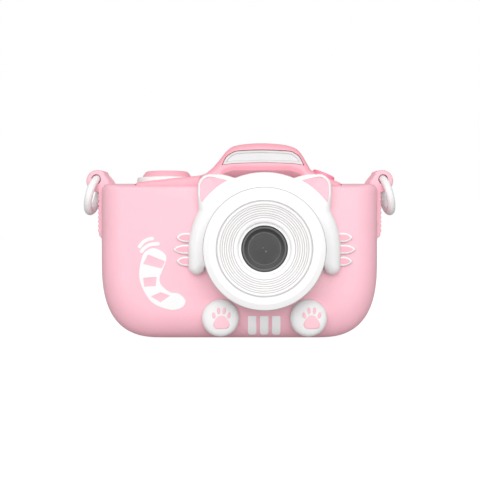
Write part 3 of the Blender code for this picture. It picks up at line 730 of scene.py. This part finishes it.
def case_solid(extra, steps=9):
    """The whole case as one solid, grown or shrunk by an extra size."""
    front_centre = FACE_Y + FRONT_DEPTH
    back_centre = BACK_Y - BACK_ROUND
    rings = []
    for step in range(steps + 1):
        angle = 90 - 90 * step / steps
        depth = front_centre - (FRONT_DEPTH + extra) * sin(radians(angle))
        rings.append(case_ring(depth, angle, extra))
    for step in range(steps - 2):
        angle = 90 * step / (steps - 3)
        depth = back_centre + (BACK_ROUND + extra) * sin(radians(angle))
        rings.append(case_ring(depth, angle, extra, back=True))
    return loft(rings)


def turn_out(solid, side):
    """Turn a right-hand solid about the lug's upright line, and mirror it for the left."""
    turn = Matrix.Rotation(radians(LUG_YAW), 4, "Z")
    place_back = Matrix.Translation(Vector((LUG_X, LUG_Y, 0)) * MM)
    solid.data.transform(place_back @ turn @ Matrix.Translation(Vector((-LUG_X, 0, 0)) * MM))
    if side < 0:
        solid.data.transform(Matrix.Scale(-1, 4, (1, 0, 0)))
        solid.data.flip_normals()
    return solid


def lug(side):
    """Strap lug at a top corner: an arch with a waisted hole, broader towards its back."""
    half = 2.6
    outline = [(48.4, 52.0), (48.5, 57.4), (49.3, 59.6), (50.5, 61.4)]
    outline += arc((53.4, 59.1), 4.15, 128, -80, 24)
    outline += [(52.6, 54.5), (51.7, 53.7), (51.1, 52.6), (50.6, 50.5), (49.6, 49.5)]
    solid = crowned(smooth(outline, 2, closed=True), -half, half, 0.9, both=True)
    for vertex in solid.data.vertices:
        back = (vertex.co.y / MM + half) / (2 * half)
        vertex.co.x -= 1.5 * back * max(0, 53 * MM - vertex.co.x) / 4
    waist = [(2.0, -half - 1), (1.98, -half), (1.86, -half + 0.15), (1.82, -half + 0.4), (1.93, 0)]
    profile = waist + [(radius, -depth) for radius, depth in reversed(waist[:-1])]
    drill = turned([(0, -half - 1)] + profile + [(0, half + 1)], 48)
    cut(solid, place(drill, (LUG_X, 0, LUG_HOLE_Z), BACKWARD))
    return turn_out(solid, side)


def side_strip(side):
    """Strip down the side below a lug, with fine ribs across its outer face."""
    low, high = 38.2, 54.5
    edge = [(50.6, low - 1.2), (51.9, low - 0.6), (52.7, low + 0.3), (52.9, low + 1.2)]
    pitch = 1.65
    z = low + 1.6
    while z < high:
        edge += [(52.85, z), (53.2, z + pitch * 0.3)]
        edge += [(53.2, z + pitch * 0.62), (52.85, z + pitch * 0.95)]
        z += pitch
    edge += [(52.85, high + 2), (50.6, high + 2)]
    outline = [(side * x, z) for x, z in edge]
    return crowned(outline, LUG_Y - 2.8, LUG_Y + 2.8, 0.5, both=True)


def face_half(reach):
    """Right half of the cat-face frame's outer edge, from the top to the arm."""
    radius = FACE_RADIUS + reach
    points = arc((0, 0), radius, 90, 67.8, 14)
    points += smooth([(10.9, 25.6 + reach), (14.0, 26.5 + reach), (17.0, 26.95 + reach)], 5)[:-1]
    points += arc((19.5, 22.3), 4.6 + reach, 100, 0, 18)
    points += smooth([(24.15 + reach, 20.0), (24.1 + reach, 17.0), (23.95 + reach, 14.0)], 5)[:-1]
    points += arc((0, 0), radius, 29, 0, 18)
    return points


def head_backing():
    """Part of the sleeve that stands behind the cat's head, above the front's edge."""
    half = [(x * 0.985, z - 0.6) for x, z in face_half(0) if z > 18]
    outline = half + mirrored(half)
    return plate(face_place(outline), FACE_Y + 0.05, DECK_FRONT - GAP)


def build_sleeve():
    """Silicone sleeve, open on top, with holes for the lens, the back and the sockets."""
    sleeve = case_solid(0)
    opening = box((DECK_LEFT - GAP, FACE_Y + 1.8, 50), (DECK_RIGHT + GAP, BACK_Y - 1.8, 62))
    hollow = add(case_solid(-SLEEVE_WALL, steps=6), opening)
    add(sleeve, lug(1), lug(-1), side_strip(1), side_strip(-1))
    cut(sleeve, hollow)
    add(sleeve, head_backing())
    cut(sleeve, rod((LENS_X, LENS_Z), BARREL_RADIUS + 0.5, FACE_Y - 2, 0, 96))
    cut(sleeve, plate(moved(rounded_box(*BACK_OPENING), 0, SCREEN_Z), 20, 30))
    cut(sleeve, side_window())
    soften(sleeve, 0.35, 2)
    show(sleeve, "sleeve_skin", PINK_SILICONE, ["silicone_sleeve"])


def side_window():
    """Cutter for the round-cornered window over the sockets, in the right side."""
    middle = (FLAP_LOW + FLAP_HIGH) / 2
    size = FLAP_HIGH - FLAP_LOW
    window = plate(rounded_box(size.y + 1, size.z + 0.8, 1.2), 0, 10)
    turn = Matrix.Rotation(radians(90), 4, "Z")
    window.data.transform(Matrix.Translation(Vector((57, middle.y, middle.z)) * MM) @ turn)
    return window


# ---- cat face

def face_edge():
    """The frame's outer edge about the lens axis, from one arm's foot round to the other's."""
    half = face_half(0) + arc((FACE_RADIUS - ARM_RADIUS, -6.4), ARM_RADIUS, 0, -150, 16)
    return mirrored(half) + half


def face_inner_edge():
    """The frame's inner edge, beside the barrel, from the right arm round to the left one."""
    return arc((0, 0), BARREL_RADIUS + 0.55, -15, 195, 120)


def ear_reach(x, z):
    """How broad the frame's rounding is: narrow on the ears, full on the band and arms."""
    return min(max((LENS_Z + 22 - z) / 8, 0.3), 1)


def ear_outline(extra):
    """Outline of the right ear's inlay about the lens axis."""
    points = arc((0, 0), FACE_RADIUS + 0.4, 36.5, 61.5, 20)
    points += arc((19.5, 22.3), 3.6, 100, 0, 20)
    points += smooth([(23.15, 20.0), (23.0, 17.6), (22.6, 16.9)], 3)
    return grow(points, extra) if extra else points


def build_face():
    """White frame round the lens: a rounded band with two ears and two arms."""
    edge = face_place(face_edge())
    outline = edge + face_place(face_inner_edge())
    frame = crowned(outline, FACE_FRONT, FACE_Y - 0.1, 3.4, 3.2, line=edge, spread=ear_reach)
    for side in (1, -1):
        cut(frame, plate(face_place(ear_outline(0), side), FACE_FRONT - 1, FACE_FRONT + 1.4))
    show(frame, "face_band", WHITE_SILICONE, ["cat_face_frame"], sharp=40)


def build_ear(side, word):
    """Pink inlay of one ear, with a shallow crease across it."""
    outline = face_place(ear_outline(0.01), side)
    inlay = crowned(outline, FACE_FRONT + 0.35, FACE_FRONT + 1.35, 0.2, 0.5, pitch=0.4)
    middle = Vector((LENS_X + side * 18.4, LENS_Z + 23.7)) * MM
    for vertex in inlay.data.vertices:
        if vertex.co.y < (FACE_FRONT + 1) * MM:
            across = (middle.x - vertex.co.x) * side * 0.8 + (vertex.co.z - middle.y) * 0.6
            vertex.co.y += 0.12 * MM - (0.16 if across > 0 else -0.07) * across
    show(inlay, "ear_pad_" + word, EAR_PINK, ["ear_inlay_" + word], sharp=0)


def whisker_leaf(level, tip, inset=0.0):
    """Edge of one whisker from its lower root to its upper root."""
    root = 28.6
    reach = tip - root - 1.3 * inset
    edge = [(26.6, inset - 1.75)]
    for step in range(12):
        away = step / 12
        edge.append((root + away * reach, (inset - 1.75) * (1 - away ** 2.2) ** 0.72))
    edge.append((root + reach, 0))
    return [(x, z + level) for x, z in edge] + [(x, level - z) for x, z in reversed(edge[:-1])]


def build_whiskers(side, word):
    """Three leaf-shaped whiskers on a strip behind the arm, and their pink middles."""
    outline = [(25.0, -6.4)]
    for level, tip in WHISKERS:
        outline += whisker_leaf(level, tip)
    outline += [(25.0, 6.0)]
    strip = crowned(face_place(outline, side), FACE_Y - 1.35, FACE_Y - 0.3, 0.5, 0.6, pitch=0.4)
    name = "whisker_strip_" + word
    show(strip, name, WHITE_SILICONE, ["whiskers_" + word])
    for number, (level, tip) in enumerate(WHISKERS, 1):
        leaf = whisker_leaf(level, tip, 0.6)
        middle = crowned(face_place(leaf, side), FACE_Y - 1.4, FACE_Y - 0.6, 0.1, 0.3, pitch=0.4)
        name = "whisker_pad_%s_%d" % (word, number)
        show(middle, name, WHISKER_PINK)


def pad_shapes():
    """Outlines of a paw's main pad and four toes, about the paw's middle."""
    half = [(0, 1.12), (1.15, 0.85), (2.05, -0.15), (2.95, -1.75)]
    half += [(2.95, -2.75), (2.2, -3.65), (0.8, -3.88)]
    shapes = [smooth(half + mirrored(half), 5, closed=True)]
    toes = ((-1, OUTER_TOE), (-1, INNER_TOE), (1, INNER_TOE), (1, OUTER_TOE))
    for side, (x, z, width, height, lean) in toes:
        shapes.append(moved(turned_by(oval(width, height, 24), side * lean), side * x, z))
    return shapes


def build_paw(side, word):
    """White dome of a paw with its raised pink pads."""
    centre = (LENS_X + side * PAW_X, PAW_Z)
    edge = [(6.75, 8.3), (6.7, 9.1), (6.35, 9.9), (5.6, 10.6)]
    edge += [(4.4, 11.05), (2.4, 11.32), (0, 11.4)]
    dome = turned([(0, -1), (6.75, -1)] + smooth(edge, 5), 96)
    place(dome, (centre[0], 0, centre[1]), FORWARD)
    cut(dome, case_solid(0.12), rod(centre, 5.2, -9.9, 2))
    show(dome, "paw_dome_" + word, WHITE_SILICONE, ["paw_" + word])
    for number, shape in enumerate(pad_shapes()):
        shape = moved(shape, centre[0] + PAD_SHIFT + side * PAD_SPREAD, PAW_Z)
        pad = crowned(shape, -11.65, -10, 0.35, 0.6, pitch=0.35)
        drape(pad, centre)
        nodes = [] if number else ["paw_pad_" + word]
        show(pad, "paw_bean_%s_%d" % (word, number), PAD_PINK, nodes)


def drape(pad, centre):
    """Let a pad's front follow the paw's dome, so that it stands proud of it evenly."""
    for vertex in pad.data.vertices:
        away = hypot(vertex.co.x / MM - centre[0], vertex.co.z / MM - centre[1])
        vertex.co.y += 0.018 * min(away, 6) ** 2 * MM


# ---- inlays on the sleeve

def on_face(outline):
    """A thin inlay that follows the sleeve's front and stands a little proud of it."""
    blank = plate(outline, FACE_Y - 3, FACE_Y + 12)
    combine(blank, case_solid(0.28), "INTERSECT")
    return cut(blank, case_solid(0.04))


def ribbon(line, width):
    """Outline of a ribbon along a smooth line, with round ends."""
    path = smooth(line, 8)
    outer = []
    inner = []
    for index, (x, z) in enumerate(path):
        before = Vector(path[max(index - 1, 0)])
        after = Vector(path[min(index + 1, len(path) - 1)])
        along = (after - before).normalized() * width / 2
        outer.append((x + along.y, z - along.x))
        inner.append((x - along.y, z + along.x))
    turn = heading(path[-2], path[-1])
    end = arc(path[-1], width / 2, turn - 90, turn + 90, 8)[1:-1]
    turn = heading(path[1], path[0])
    start = arc(path[0], width / 2, turn - 90, turn + 90, 8)[1:-1]
    return outer + end + inner[::-1] + start


def heading(first, second):
    """Direction from one point to another, in degrees."""
    return degrees(atan2(second[1] - first[1], second[0] - first[0]))


def build_stripes():
    """Three pale bars with rounded corners on the curved foot of the sleeve."""
    for number, x in enumerate((4.8, 9.2, 13.6), 1):
        outline = arc((-0.6, 2.7), 0.95, 180, 270, 8) + arc((0.6, 2.7), 0.95, 270, 360, 8)
        outline += arc((1.2, 8.55), 0.35, 0, 90, 4) + arc((-1.2, 8.55), 0.35, 90, 180, 4)
        bar = on_face(moved(outline, x, 0.3))
        node = "belly_stripe_%d" % number
        show(bar, "belly_bar_%d" % number, STRIPE_GREY, [node])


def build_tail():
    """Curved white tail with three windows, and two small arcs above its tip."""
    edge = [
        (-30.8, 33.9), (-27.5, 32.3), (-26.5, 29.9), (-27.9, 25.8), (-28.9, 23.0), (-28.3, 20.5),
        (-25.2, 17.9), (-21.9, 17.3), (-19.5, 14.8), (-20.9, 12.2), (-25.2, 11.5), (-31.8, 14.3),
        (-35.6, 20.5), (-36.3, 25.5), (-35.1, 31.2), (-33.3, 33.2),
    ]
    windows = (
        ((-33.1, 31.6), (-26.9, 29.1), (-28.2, 26.5), (-34.9, 28.2)),
        ((-34.9, 23.1), (-30.0, 23.4), (-30.3, 20.1), (-34.5, 19.9)),
        ((-32.0, 16.3), (-28.5, 17.9), (-25.1, 16.6), (-28.6, 14.2)),
    )
    tail = on_face(smooth(edge, 6, closed=True))
    for window in windows:
        cut(tail, plate(window, FACE_Y - 3, FACE_Y + 2))
    show(tail, "tail_skin", WHITE_SILICONE, ["tail_inlay"])
    marks = (
        ((-36.2, 34.5), (-34.9, 36.1), (-33.1, 37.1), (-31.6, 37.4)),
        ((-35.5, 32.8), (-34.4, 34.0), (-32.3, 35.2), (-29.5, 35.5)),
    )
    for number, line in enumerate(marks, 1):
        mark = on_face(ribbon(line, 1.3))
        node = "motion_mark_%d" % number
        show(mark, "motion_line_%d" % number, WHITE_SILICONE, [node])


# ---- lens

def build_barrel():
    """White barrel with a broad chamfer round its front, and painted shade on its outer rounding
    beside the face band.
    """
    edge = [(BARREL_RADIUS, 23.5), (21.66, 23.8), (21.5, 24.1), (21.2, 24.32)]
    profile = [(17.5, 5.3), (BARREL_RADIUS, 5.3)] + smooth(edge, 4)
    profile += [(20.3, 24.65), (19.55, 24.93), (19.3, 25.0), (17.2, 25.0), (17.06, 24.95)]
    profile += [(16.98, 24.82), (16.95, 24.62), (17.2, 23.5), (17.5, 22.5)]
    barrel = place(turned(profile, 160), LENS_AXIS, FORWARD)
    show(barrel, "barrel_skin", WHITE_PLASTIC, ["lens_barrel"], sharp=50)
    # Painted shade: the barrel's outer rounding, beside the gap to the face band, is grey for the
    # shadow in that seam.
    tint(barrel, PAINTED_GROOVE_SHADE, lambda radius: radius > BARREL_RADIUS - 0.25)


def groove(radius, height):
    """Profile of one fine groove in the funnel."""
    shape = ((0.24, 0), (0.16, 0.04), (0.1, 0.15), (-0.1, 0.17), (-0.16, 0.08), (-0.24, 0.05))
    return [(radius + out, height - deep) for out, deep in shape]


def build_funnel():
    """White funnel with fine grooves, from the barrel's rim down to the lens window, with a grey ring
    of painted shade along each groove.
    """
    height = 24.8
    profile = [(19.4, 20.0), (19.4, 22.0), (17.1, 23.4), (16.9, 24.62), (16.45, 24.64)]
    profile += [(16.35, 24.77), (16.15, height)]
    previous = 16.25
    for radius in GROOVES:
        height -= (previous - radius) * FUNNEL_SLOPE
        profile += groove(radius, height)
        previous = radius
    profile += [(10.4, height - 0.1), (9.6, height - 0.25), (9.4, height - 0.4)]
    profile += [(9.25, height - 0.7), (9.2, 22.85), (9.05, 22.65), (8.25, 22.6), (8.18, 22.4)]
    profile += [(8.18, 18.6), (9.6, 18.6), (11, 19.6)]
    funnel = place(turned(profile, 160), LENS_AXIS, FORWARD)
    show(funnel, "funnel_skin", WHITE_PLASTIC, ["lens_trim_ring"], sharp=50)
    # Painted shade: a grey ring along each groove and along the step at 16.7 mm, for the shade in
    # them; the grooves are also cut into the profile.
    lines = GROOVES + (16.7,)
    tint(funnel, PAINTED_GROOVE_SHADE, lambda radius: any(abs(radius - line) < 0.16 for line in lines))


def tint(piece, material, test):
    """Give a material to a turned piece's front faces at the radii that pass a test."""
    piece.data.materials.append(material)
    for face in piece.data.polygons:
        middle = face.center / MM
        radius = hypot(middle.x - LENS_X, middle.z - LENS_Z)
        if face.normal.y < -0.2 and middle.y < -21 and test(radius):
            face.material_index = 1


def build_glass():
    """Dark lens window in stepped rings, from the outside in, and two painted highlights on it: small
    light-grey domes.
    """
    back = 19.9
    rings = (
        ("edge", LENS_EDGE, 7.85, [(8.12, 21.3), (8.0, 21.45), (7.9, 21.4)]),
        ("rim", LENS_RIM, 7.05, [(7.85, 21.4), (7.7, 21.45), (7.2, 21.4), (7.05, 21.1)]),
        ("band", LENS_BAND, 5.85, [(7.05, 21.0), (6.3, 20.8), (5.85, 20.8)]),
        ("line", LENS_RIM, 5.5, [(5.85, 20.85), (5.78, 20.92), (5.6, 20.92), (5.5, 20.8)]),
        ("disc", LENS_DISC, 0, [(5.5, 20.75), (2.0, 20.77), (0, 20.78)]),
    )
    for number, (name, material, inner, face) in enumerate(rings):
        profile = [(face[0][0], back)] + face + [(inner, back)]
        ring = place(turned(profile, 96), LENS_AXIS, FORWARD)
        nodes = [] if number else ["lens_window"]
        show(ring, "glass_" + name, material, nodes, sharp=30)
    # Painted highlights: two small light-grey domes where the lights glint on the lens.
    for number, (x, z, size) in enumerate(((-0.5, 0.3, 0.2), (0.5, -0.95, 0.27)), 1):
        glint = turned([(0, 20.5), (size, 20.5), (size, 20.82), (size * 0.7, 20.9), (0, 20.95)], 24)
        place(glint, (LENS_X + x, 0, LENS_Z + z), FORWARD)
        show(glint, "glass_bead_%d" % number, LENS_PAINTED_GLINT)


# ---- hard case

def deck_line(steps):
    """The line of the deck and the hump, from right to left."""
    line = [
        (DECK_RIGHT, POWER_Z - (DECK_RIGHT - POWER_X) * tan(radians(POWER_TILT))),
        (POWER_X, POWER_Z),
        (26.8, 62.3),
        (25.2, 64.5),
        (23.2, 67.9),
        (21.0, 70.3),
        (16.6, 71.8),
        (7.8, 72.4),
        (-0.9, 71.6),
        (-4.4, 69.7),
        (-7.5, 65.9),
        (-10.6, 62.6),
        (-14.3, 60.7),
        (-26.0, 59.5),
        (DECK_LEFT, 58.0),
    ]
    return smooth(line, steps)


def deck_solid(inset, foot=50.0, steps=5):
    """The deck and hump from front to back, shrunk by an inset on every side."""
    outline = [(DECK_LEFT, foot), (DECK_RIGHT, foot)] + deck_line(steps)
    outline = grow(outline, -inset) if inset else outline
    edge = max(DECK_FRONT_EDGE - inset, 0.3)
    back_edge = max(DECK_BACK_EDGE - inset, 0.3)
    return plate(outline, DECK_FRONT + inset, DECK_BACK - inset, edge, back_edge, steps)


def brow():
    """Front of the hump: the shell swells forward and is hollowed out above the lens."""
    line = [point for point in deck_line(5) if BROW_LEFT < point[0] < BROW_RIGHT]
    outline = grow(line + [(BROW_LEFT, 57.5), (BROW_RIGHT, 57.5)], -0.05)
    swell = crowned(outline, BROW_FRONT, DECK_FRONT + 1.4, 2.8, 2.2)
    rings = [brow_recess(0.1, BROW_FRONT - 1, -3.5), brow_recess(0.1, BROW_FRONT + 0.7)]
    return swell, loft(rings + [brow_recess(-1.1, DECK_FRONT + 1.0, 1.9)])


def brow_recess(extra, depth, drop=0.0):
    """Outline of the hollow under the brow at a depth: wider by an extra size, and dropped."""
    top = BROW_BOTTOM + extra - drop
    low = 59.9 + extra / 2 - drop
    outline = [
        (-6.6 - extra, 55), (-6.6 - extra, low), (-5.2 - extra / 2, top - 1.0), (-2.4, top),
        (18.6, top), (21.9 + extra / 2, top - 1.0), (23.6 + extra, low), (23.6 + extra, 55),
    ]
    return [(x, depth, z) for x, z in outline]


def top_block():
    """Deck, hump and brow as one moulded shape whose creases flow into fillets."""
    swell, hollow = brow()
    block = cut(add(deck_solid(0, 55.0), swell), hollow)
    melt(block, 0.36, 4)
    thin = block.modifiers.new("thin", "DECIMATE")
    thin.decimate_type = "DISSOLVE"
    thin.angle_limit = radians(1.2)
    return settle(block)


def window_outline(extra=0.0):
    """Outline of the flash window: an arched top between two low pointed corners."""
    corners = [
        (23.6, 64.2), (22.0, 67.2), (20.3, 68.5), (18.0, 69.3), (9.0, 69.7), (0.0, 69.4),
        (-2.6, 68.6), (-4.7, 67.0), (-6.1, 64.3), (-2.0, 64.8), (9.0, 65.1), (20.0, 64.8),
    ]
    corners = grow(corners, extra, 2.2)
    return smooth(corners[:9], 5) + smooth(corners[9:], 5)


def shoulder_cuts():
    """Pockets and holes of the two shoulder buttons."""
    axis = (SHUTTER_X, SHOULDER_Y, 0)
    ring = place(turned([(0, 57.6), (11.5, 57.6), (11.5, 66), (0, 66)], 96), axis)
    stem = place(turned([(0, 50), (4.3, 50), (4.3, 60), (0, 60)], 32), axis)
    power = turned([(0, -6), (3.4, -6), (3.4, -0.6), (4.7, -0.6), (4.7, 5), (0, 5)], 64)
    return ring, stem, place(power, (POWER_X, SHOULDER_Y, POWER_Z), power_direction())


def power_direction():
    """The way that the power button faces, out of the right shoulder."""
    return (sin(radians(POWER_TILT)), 0, cos(radians(POWER_TILT)))


def twin(piece):
    """A copy of a piece with its own mesh."""
    other = piece.copy()
    other.data = piece.data.copy()
    bpy.context.scene.collection.objects.link(other)
    return other


def build_shells():
    """Front and rear case halves, with the openings that show, and painted shade in the hollow under
    the brow.
    """
    case = add(case_solid(-SLEEVE_WALL - GAP, steps=4), top_block())
    hollow = add(case_solid(-SLEEVE_WALL - GAP - SHELL_WALL, steps=4), deck_solid(SHELL_WALL, steps=2))
    cut(case, hollow)
    cut(case, *shoulder_cuts())
    rear = twin(case)
    front = cut(case, box((-60, SPLIT_Y - GAP / 2, -5), (60, 40, 80)))
    cut(front, plate(window_outline(0.15), BROW_FRONT - 1, BROW_FRONT + 2.2))
    cut(front, rod((LENS_X, LENS_Z), 16.5, DECK_FRONT - 2, 0))
    show(front, "shell_front_skin", PINK_SHELL, ["front_shell"], sharp=40)
    # Painted shade: faces under the brow that face down get a darker, greyer pink, for the shade in
    # the hollow.
    front.data.materials.append(RECESS_PAINTED_SHADE)
    for face in front.data.polygons:
        middle = face.center / MM
        under = middle.y > BROW_FRONT + 0.75 and 57 < middle.z < BROW_BOTTOM + 0.1
        if under and abs(middle.x - LENS_X) < 17.5 and face.normal.z < -0.2:
            face.material_index = 1
    cut(rear, box((-60, -30, -5), (60, SPLIT_Y + GAP / 2, 80)))
    cut(rear, plate(screen_outline(0.15), DECK_BACK - 1.0, 30), plate(screen_outline(-3.2), 19, 30))
    for outline in key_outlines().values():
        cut(rear, plate(grow(outline, 0.25), 20.75, 30))
    eye = (LENS_X, REAR_LENS_Z)
    cut(rear, rod(eye, 3.8, DECK_BACK - 0.9, 30), rod(eye, 2.2, 19, 30))
    sockets_low = (46, FLAP_LOW.y + 1, FLAP_LOW.z - 1)
    cut(rear, box(sockets_low, (52, FLAP_HIGH.y - 1.3, FLAP_HIGH.z - 0.6)))
    for centre in SCREW_PLACES:
        cut(rear, rod(centre, 2.3, 13.5, 30, 32))
    show(rear, "shell_rear_skin", PINK_SHELL, ["rear_shell"], sharp=40)


def build_flash_window():
    """Pale stepped frame of the flash window, and the frosted panel inside it."""
    depth = BROW_FRONT + 0.7
    frame = plate(window_outline(), depth, depth + 1.2, edge=0.25, steps=2)
    opening = loft([
        [(x, depth - 0.2, z) for x, z in window_outline(-0.7)],
        [(x, depth + 0.55, z) for x, z in window_outline(-1.1)],
    ])
    cut(frame, opening)
    show(frame, "flash_frame", FRAME_PALE, ["hump_window"])
    panel = plate(window_outline(-0.9), depth + 0.45, depth + 0.9)
    show(panel, "flash_panel", DIFFUSER)


# ---- shoulder buttons

def build_shoulder_buttons():
    """White shutter collar, two-step pink shutter button, and round power button."""
    radius = (COLLAR_HIGH.x - COLLAR_LOW.x) / 2
    low = 57.9
    profile = [(radius, low), (radius, 59.5), (11.1, 59.95), (10.8, 60.3)]
    profile += [(10.4, 60.4), (10.0, 60.4), (9.8, 60.2), (9.7, low)]
    axis = (SHUTTER_X, SHOULDER_Y, 0)
    collar = place(turned(profile), axis)
    show(collar, "collar_skin", WHITE_PLASTIC, ["shutter_ring"])
    rise = smooth([(9.2, 60.6), (8.95, 61.1), (8.1, 62.25), (7.7, 62.55), (7.1, SHUTTER_TOP)], 4)
    profile = [(0, 54.2), (4.0, 54.2), (4.0, 59.0), (9.2, 59.0)] + rise
    profile += [(4, SHUTTER_TOP), (0, SHUTTER_TOP)]
    cap = place(turned(profile), axis)
    show(cap, "shutter_cap", PINK_CAP, ["shutter_button"], "shutter")
    profile = [(0, -4.4), (3.1, -4.4), (3.1, 0), (4.4, 0), (4.4, 1.0)]
    profile += arc((3.6, 1.05), 0.8, 10, 80, 6) + [(3.2, 1.88), (2.4, 1.88), (1.6, 1.8), (0, 1.78)]
    knob = place(turned(profile, 96), (POWER_X, SHOULDER_Y, POWER_Z), power_direction())
    show(knob, "power_cap", PINK_BUTTON, ["power_button"], "power")


# ---- strap rings

def build_ring(side, word):
    """Smooth white strap ring through a lug."""
    profile = [(RING_RADIUS + x, z) for x, z in oval(2 * RING_TUBE, 2 * RING_TUBE, 24)]
    ring = turned(profile, 96)
    hang = Matrix.Translation(Vector((0, 0, RING_RISE - RING_RADIUS)) * MM)
    upright = Matrix.Rotation(radians(90), 4, "Y")
    swing = Matrix.Rotation(radians(-RING_TILT), 4, "Y")
    to_hole = Matrix.Translation(Vector((LUG_X, 0, LUG_HOLE_Z)) * MM)
    ring.data.transform(to_hole @ swing @ hang @ upright)
    turn_out(ring, side)
    node = "strap_ring_" + word
    show(ring, "ring_skin_" + word, WHITE_PLASTIC, [node], "ring_" + word, sharp=0)


# ---- back

def screen_outline(extra=0.0):
    """Outline of the clear window over the display."""
    return moved(rounded_box(50 + 2 * extra, 38 + 2 * extra, 3 + extra / 2, 12), SCREEN_X, SCREEN_Z)


def key_outlines():
    """Outline of each key on the back."""
    keys = {}
    for name, level in (("ok_button", KEYS_Z), ("menu_button", MENU_Z), ("mode_button", MODE_Z)):
        keys[name] = moved(oval(6.0, 6.0), KEYS_X, level)
    for name, middle in ARROW_ANGLES.items():
        quarter = arc((0, 0), 9.4, middle - 34, middle + 34, 24)
        quarter += arc((0, 0), 4.5, middle + 26, middle - 26, 12)
        keys[name] = moved(quarter, KEYS_X, KEYS_Z)
    return keys


# ---- screen, keys and rear lens

def build_screen():
    """Dark clear window over the display, with the switched-off picture area in it."""
    pane = plate(screen_outline(), DECK_BACK - 0.7, DECK_BACK + 0.5, back_edge=0.4)
    show(pane, "display_pane", SCREEN_EDGE, ["screen_window"])
    picture = plate(screen_outline(-3.2), DECK_BACK + 0.3, DECK_BACK + 0.53)
    show(picture, "display_picture", SCREEN_FACE)


def arrow(turn):
    """A small arrow head whose tip points along +X, turned by an angle."""
    side = [(0.7, 0.3), (-0.5, 1.05), (-0.65, 0.9)]
    outline = [(0.9, 0)] + side + [(x, -z) for x, z in reversed(side)]
    return smooth(turned_by(outline, turn), 2, closed=True)


def key_marks():
    """Outlines of the marks on each key: arrows, a ring, three lines, and a frame."""
    marks = {}
    for name, angle in ARROW_ANGLES.items():
        spot = Vector(turned_by([(7.2, 0)], angle)[0])
        marks[name] = [moved(arrow(angle), KEYS_X + spot.x, KEYS_Z + spot.y)]
    marks["ok_button"] = [moved(oval(2.2, 2.2), KEYS_X, KEYS_Z)]
    line = rounded_box(2.6, 0.42, 0.2, 4)
    marks["menu_button"] = [moved(line, KEYS_X, MENU_Z + level) for level in (-0.95, 0, 0.95)]
    marks["mode_button"] = [moved(rounded_box(2.6, 1.9, 0.45, 5), KEYS_X, MODE_Z)]
    return marks


def build_keys():
    """Seven back keys with rounded caps, a flange under the shell, and raised marks."""
    marks = key_marks()
    for name, outline in key_outlines().items():
        key = plate(outline, 20.2, KEY_FRONT, back_edge=0.55)
        add(key, plate(grow(outline, 0.55), 19.8, 20.6))
        show(key, name + "_cap", WHITE_PLASTIC, [name], name)
        for number, mark in enumerate(marks[name]):
            print_on = plate(mark, KEY_FRONT - 0.3, KEY_FRONT + 0.08, back_edge=0.06)
            show(print_on, "%s_mark_%d" % (name, number), PINK_BUTTON, body=name)


def build_rear_lens():
    """Small dark lens window at the top of the back, in a stepped rim."""
    axis = (LENS_X, 0, REAR_LENS_Z)
    low = DECK_BACK - 0.6
    top = DECK_BACK + 0.3
    profile = [(2.5, low), (3.5, low), (3.5, top - 0.2), (3.3, top), (2.9, top)]
    profile += [(2.6, top - 0.2), (2.5, top - 0.4)]
    rim = place(turned(profile, 64), axis, BACKWARD)
    show(rim, "rear_eye_rim", LENS_RIM)
    profile = [(0, low), (2.45, low), (2.45, top - 0.45), (1.6, top - 0.36), (0.8, top - 0.3)]
    profile += [(0, top - 0.28)]
    eye = place(turned(profile, 64), axis, BACKWARD)
    show(eye, "rear_eye_glass", LENS_EDGE, ["rear_camera_window"])


def build_screws():
    """Four steel case screws with crossed slots, deep in their holes."""
    profile = [(0, 0.6), (1.0, 0.6), (1.0, 13.8), (1.9, 13.8)]
    profile += [(1.9, 14.7), (1.7, 15.0), (1.2, 15.16), (0, 15.2)]
    for number, (x, z) in enumerate(SCREW_PLACES, 1):
        screw = place(turned(profile, 48), (x, 0, z), BACKWARD)
        cut(screw, box((x - 1.1, 14.6, z - 0.22), (x + 1.1, 16, z + 0.22)))
        cut(screw, box((x - 0.22, 14.6, z - 1.1), (x + 0.22, 16, z + 1.1)))
        show(screw, "back_screw_%d" % number, STEEL, ["case_screw_%d" % number])


def build_port_cover():
    """Soft hinged cover over the sockets, with three grip lines."""
    size = FLAP_HIGH - FLAP_LOW
    thick = size.x / 2
    cover = plate(rounded_box(size.y, size.z, 1.4), -thick, thick, edge=0.35, back_edge=0.2)
    for number in range(3):
        line = rounded_box(0.45, size.z * 0.45, 0.2, 4)
        across = 1.3 - size.y / 2 + number * 1.1
        cut(cover, plate(moved(line, across, 0), -thick - 1, 0.3 - thick))
    cover.data.transform(Matrix.Rotation(radians(90), 4, "Z"))
    cover.data.transform(Matrix.Translation((FLAP_LOW + FLAP_HIGH) / 2 * MM))
    show(cover, "socket_cover", PINK_SILICONE, ["port_cover"], "flap")


# ---- inner parts kept from the CAD

def dress_inner_parts():
    """Procedural materials for the CAD nodes that stay as they are."""
    looks = (
        (BOARD_GREEN, "main_board keypad_board flash_led_board"),
        (BATTERY_BLUE, "battery"),
        (BLACK_PLASTIC, "speaker display_panel shutter_switch power_switch"),
        (BLACK_PLASTIC, "front_camera_module rear_camera_module"),
        (STEEL, "usb_port card_socket"),
    )
    for material, names in looks:
        for name in names.split():
            node = bpy.data.objects[name]
            node.data.materials.clear()
            node.data.materials.append(material)


def main():
    """Build the studio and every visible piece."""
    make_studio()
    build_sleeve()
    build_face()
    build_barrel()
    build_funnel()
    build_glass()
    build_stripes()
    build_tail()
    build_shells()
    build_flash_window()
    build_shoulder_buttons()
    build_screen()
    build_keys()
    build_rear_lens()
    build_screws()
    build_port_cover()
    dress_inner_parts()
    for side, word in ((-1, "left"), (1, "right")):
        build_ear(side, word)
        build_whiskers(side, word)
        build_paw(side, word)
        build_ring(side, word)


main()
